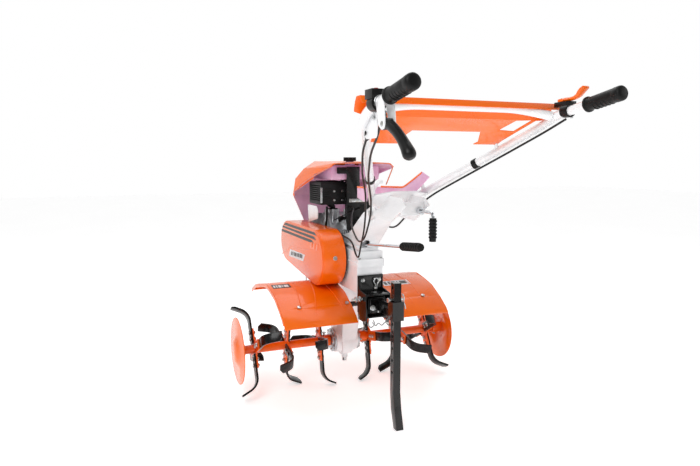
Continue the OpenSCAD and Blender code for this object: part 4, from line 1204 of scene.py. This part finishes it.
@dataclass
class Handlebars:
    """Bent tube handlebars with their gusset, tabs, grips and tray."""

    tube_radius: float = 12.5
    grip_x: float = 275.0
    arm: tuple[Point, ...] = ((60.8, -405.4, 734), (270, -803.7, 964), (273, -850, 989), (275, -956, 1007),
                              (275, -1060, 1025.2))
    cross: tuple[Point, ...] = ((-259, -842, 987.5), (-163, -824, 1005), (163, -824, 1005), (259, -842, 987.5))
    grip_profile: tuple[tuple[float, float], ...] = (
        (0, 15), (0.4, 18), (2, 19.6), (7, 19.6), (8.6, 17.4), (12, 16.6), (30, 16.8), (60, 17.2), (88, 17.6),
        (91, 17.2), (93, 18.3), (106, 18.4), (110, 17.6), (112.6, 15.4), (114.2, 11.5), (114.9, 6), (115, 1),
    )

    def build(self) -> None:
        """Makes the tubes, grips, bracket and tray."""
        self._tubes()
        self._grips()
        refined("handlebar_bracket", Finishes.WHITE_ENAMEL, 1.2)
        refined("dash_panel", Finishes.ORANGE_ABS, 1.0)
        refined("cable_clips", Finishes.BLACK_NYLON, 0.4)

    def _tubes(self) -> None:
        """Bends the tubes and welds on their tabs."""
        arm = swept("arm", smooth_route([at(*p) for p in self.arm], 0.05, 8), self.tube_radius, 28)
        parts = [arm, mirrored(arm)]
        cross = smooth_route([at(*p) for p in self.cross], 0.045, 8)
        parts.append(swept("cross", cross, self.tube_radius - 0.2, 28))
        gusset = plate("gusset", [at(-262, y, z) for y, z in ((-790, 958), (-796, 926), (-806, 920), (-856, 921),
                                                              (-862, 928), (-871, 992), (-850, 985))],
                       Vector((3.5 * MM, 0, 0)))
        soften(gusset, 0.8, 2)
        parts.append(gusset)
        for x in (-289, -264):
            ear = plate("ear", [at(x, y, z) for y, z in ((-915, 1000), (-955, 1006), (-963, 946), (-957, 937),
                                                         (-946, 935), (-930, 945))], Vector((3 * MM, 0, 0)))
            soften(ear, 0.8, 2)
            parts.append(ear)
        for x, y, z in ((210, -686, 898), (95, -466, 772)):
            tab = smooth_route([at(x - 6, y, z), at(x - 14, y - 6, z + 22), at(x - 24, y - 10, z + 33),
                                at(x - 34, y - 10, z + 32)], 0.01)
            hook = swept("hook", tab, 5.5, 12, [1.0] * len(tab))
            parts += [hook, mirrored(hook)]
        for part in parts:
            painted(part, Finishes.WHITE_ENAMEL)
        settle(joined("tubes", parts), "handlebar_tubes", Finishes.WHITE_ENAMEL, "handlebars", ["handlebar_frame"])

    def _grips(self) -> None:
        """Turns a grip with finger ribs under it and copies it across."""
        front = at(self.grip_x, -956, 1007)
        way = (at(self.grip_x, -1071, 1027) - front).normalized()
        right = turned("grip", front, way, self.grip_profile, 40)
        parts = [right]
        down = way.cross(Vector((1, 0, 0))).normalized()
        down = -down if down.z > 0 else down
        for k in range(5):
            centre = front + way * (30 + 12 * k) * MM
            arc = []
            for step in range(15):
                angle = math.radians(-84 + 12 * step)
                arc.append(centre + (down * math.cos(angle) + Vector((1, 0, 0)) * math.sin(angle)) * 16.4 * MM)
            fat = [0.25 + 0.75 * math.sin(math.pi * step / 14) for step in range(15)]
            parts.append(swept("finger", arc, 2.6, 10, fat))
        end = front + way * 114.2 * MM
        seam = swept("seam", [end + Vector((-9, 0, 0)) * MM, end, end + Vector((9, 0, 0)) * MM], 0.7, 6)
        parts.append(seam)
        for part in parts:
            painted(part, Finishes.RUBBER)
        grip = joined("grip", parts)
        other = mirrored(grip)
        settle(joined("grips", [grip, other]), "rubber_grips", Finishes.RUBBER, "handlebars", ["grips"])


@dataclass
class LeftControls:
    """Clutch lever, its perch and the stop switch."""

    x: float = -275.0

    def build(self) -> None:
        """Makes the lever, perch, switch and cable fittings."""
        self._lever()
        self._perch()
        refined("switch_box", Finishes.BLACK_NYLON, 3.0, segments=4)
        refined("kill_button", Finishes.RED_ABS, 1.0, segments=3)

    def _lever(self) -> None:
        """Moulds the curved lever with its bulb end."""
        spine = [(-938, 948, 0.7), (-948, 949, 0.86), (-962, 946, 0.92), (-985, 934, 0.86), (-1008, 920, 0.84),
                 (-1028, 904, 0.88), (-1042, 891, 1.0), (-1050, 882, 1.12), (-1054, 876, 0.95), (-1056, 872, 0.55)]
        route = [at(self.x, y, z) for y, z, _ in spine]
        lever = swept("lever", route, 14.2, 20, [w for *_, w in spine])
        modify(lever, "SUBSURF", levels=1, render_levels=1)
        rib = swept("rib", [at(self.x, y - 6, z + 8) for y, z, _ in spine[2:7]], 3.4, 10)
        hub = turned("hub", at(self.x - 15.5, -948, 948), Vector((1, 0, 0)),
                     [(0, 5), (1, 6.5), (4, 6.5), (5, 4), (26, 4), (27, 6.5), (30, 6.5), (31, 5)], 20)
        barrel = turned("barrel", at(self.x - 10.4, -948, 948), Vector((1, 0, 0)),
                        [(0, 12), (1, 13), (19.8, 13), (20.8, 12)], 28)
        for part in (lever, rib, barrel):
            painted(part, Finishes.BLACK_NYLON)
        painted(hub, Finishes.ZINC)
        settle(joined("clutch", [lever, rib, hub, barrel]), "clutch_lever_moulding", Finishes.BLACK_NYLON,
               "clutch", ["clutch_lever"])

    def _perch(self) -> None:
        """Adds the ribbed boot, cable ferrule and slotted bolt of the perch."""
        way = Vector((0, 0.22, 1))
        profile = [(0, 6)]
        for k in range(6):
            profile += [(3 + 7 * k, 9.4), (6 + 7 * k, 9.4), (7.4 + 7 * k, 6.6)]
        boot = painted(turned("boot", at(-266, -912, 938), way, profile + [(46, 5)], 20), Finishes.RUBBER)
        bolt = hex_head(at(-262, -852, 968), Vector((-1, 0, 0)), 9, 4)
        ferrule = painted(turned("ferrule", at(-258, -806, 938), at(-246, -770, 910) - at(-258, -806, 938),
                                 [(0, 5), (2, 7.5), (14, 7.5), (18, 5.5), (30, 4.4)], 18), Finishes.RUBBER)
        collar = turned("collar", at(-275, -903, 998), Vector((0, -1, 0.18)),
                        [(0, 13.6), (1, 15), (9, 15), (10, 13.6)], 28)
        painted(collar, Finishes.ZINC)
        settle(joined("perch", [boot, bolt, ferrule, collar]), "clutch_perch", Finishes.RUBBER, "handlebars")


@dataclass
class RightControls:
    """Throttle lever, its base and clamp."""

    def build(self) -> None:
        """Makes the paddle and clamp."""
        refined("throttle_base", Finishes.BLACK_NYLON, 2.0, segments=3)
        self._paddle()
        self._clamp()

    def _paddle(self) -> None:
        """Moulds the throttle paddle that rises towards its end."""
        spine = [(-862, 1026, 0.8), (-880, 1026.5, 1.0), (-900, 1027, 0.9), (-914, 1029, 0.85), (-926, 1034, 0.9),
                 (-936, 1042, 1.15), (-943, 1050, 1.25), (-947, 1055, 0.8)]
        paddle = swept("paddle", [at(275, y, z) for y, z, _ in spine], 11, 20, [w for *_, w in spine])
        for corner in paddle.data.vertices:
            along = min(range(len(spine)), key=lambda i: abs(AXLE.y + spine[i][0] * MM - corner.co.y))
            centre = spine[along][1] * MM
            corner.co.z = centre + (corner.co.z - centre) * 0.5
        disc = turned("disc", at(275, -868, 1021.8), Vector((0, 0, 1)),
                      [(0, 12), (1, 13), (5.5, 13), (7, 11.6), (7.1, 5), (8.4, 4.6), (8.5, 1)], 32)
        cap = turned("cap", at(275, -868, 1028.6), Vector((0, 0, 1)), [(0, 6), (1.6, 6), (2.4, 4)], 20)
        for part in (paddle, disc):
            painted(part, Finishes.ORANGE_ABS)
        painted(cap, Finishes.BLACK_NYLON)
        settle(joined("throttle", [paddle, disc, cap]), "throttle_paddle", Finishes.ORANGE_ABS, "throttle",
               ["throttle_lever"])

    def _clamp(self) -> None:
        """Bends the steel band clamp with its screw."""
        parts = []
        for y in (-884, -893):
            ring = []
            for step in range(25):
                angle = math.radians(15 * step)
                ring.append(at(275 + 14.6 * math.cos(angle), y, 996.5 + 14.6 * math.sin(angle)))
            parts.append(swept("band", ring, 1.3, 8))
        parts.append(turned("screw", at(290, -888, 979), Vector((-0.3, 0, 1)),
                            [(0, 3.4), (3, 3.4), (3.1, 2), (16, 2)], 12))
        for part in parts:
            painted(part, Finishes.ZINC)
        settle(joined("clamp_band", parts), "throttle_clamp_band", Finishes.ZINC, "handlebars")


@dataclass
class Cranks:
    """The clamp crank and gear lever with their ribbed grips."""

    def build(self) -> None:
        """Refines both grips and the handlebar pivot bolt."""
        refined("gear_lever_grip", Finishes.RUBBER, 0.9)
        refined("clamp_crank_grip", Finishes.RUBBER, 0.9)
        refined("handlebar_pivot_bolt", Finishes.ZINC, 0.6)


@dataclass
class Cables:
    """Clutch, stop and throttle cables."""

    routes: dict[str, tuple[Point, ...]] = field(default_factory=lambda: {
        "clutch_cable": (
            (-255.2, -797, 928), (-243, -740, 893), (-192, -620, 834), (-128, -500, 772), (-100, -440, 716),
            (-80, -380, 640), (-70, -330, 585), (-64, -300, 540), (-60, -265, 545), (-57, -225, 590),
            (-55.6, -110, 600), (-55.6, 20, 584)),
        "stop_wire": (
            (-262, -888, 979.8), (-250, -852, 934), (-228, -755, 886), (-176, -625, 820), (-112, -505, 754),
            (-88, -450, 696), (-78, -380, 615), (-74, -320, 596), (-66, -240, 640), (-20, -130, 676),
            (24, -50, 690), (24, -0.3, 690)),
        "throttle_cable": (
            (276, -882, 976.6), (262, -815, 944), (210, -705, 882), (150, -590, 816), (100, -500, 762),
            (64, -400, 690), (58, -330, 640), (62, -230, 640), (84, -60, 650), (80, 60, 636), (80, 99.7, 636)),
    })
    radius: float = 3.0
    held_by_chassis: Point = (0, -330, 640)
    held_by_handlebars: Point = (0, -520, 780)

    def build(self) -> None:
        """Lays the three cables along their routes."""
        for name, corners in self.routes.items():
            route = smooth_route([at(*place) for place in corners], 0.04, 6)
            piece = swept(name, route, self.radius, 12)
            settle(piece, name, Finishes.PVC, None, ["cables"])
            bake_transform(piece)


def main() -> None:
    """Builds the studio, dresses the frame and makes each sub-assembly in order."""
    Studio().build()
    dress_frame()
    for assembly in (Cables(), Rotor(), Fenders(), Gearcase(), BeltDrive(), Engine(), Bonnet(), Shroud(), Hitch(),
                     Handlebars(), LeftControls(), RightControls(), Cranks()):
        assembly.build()
    clear_selection()


if __name__ == "__main__":
    main()
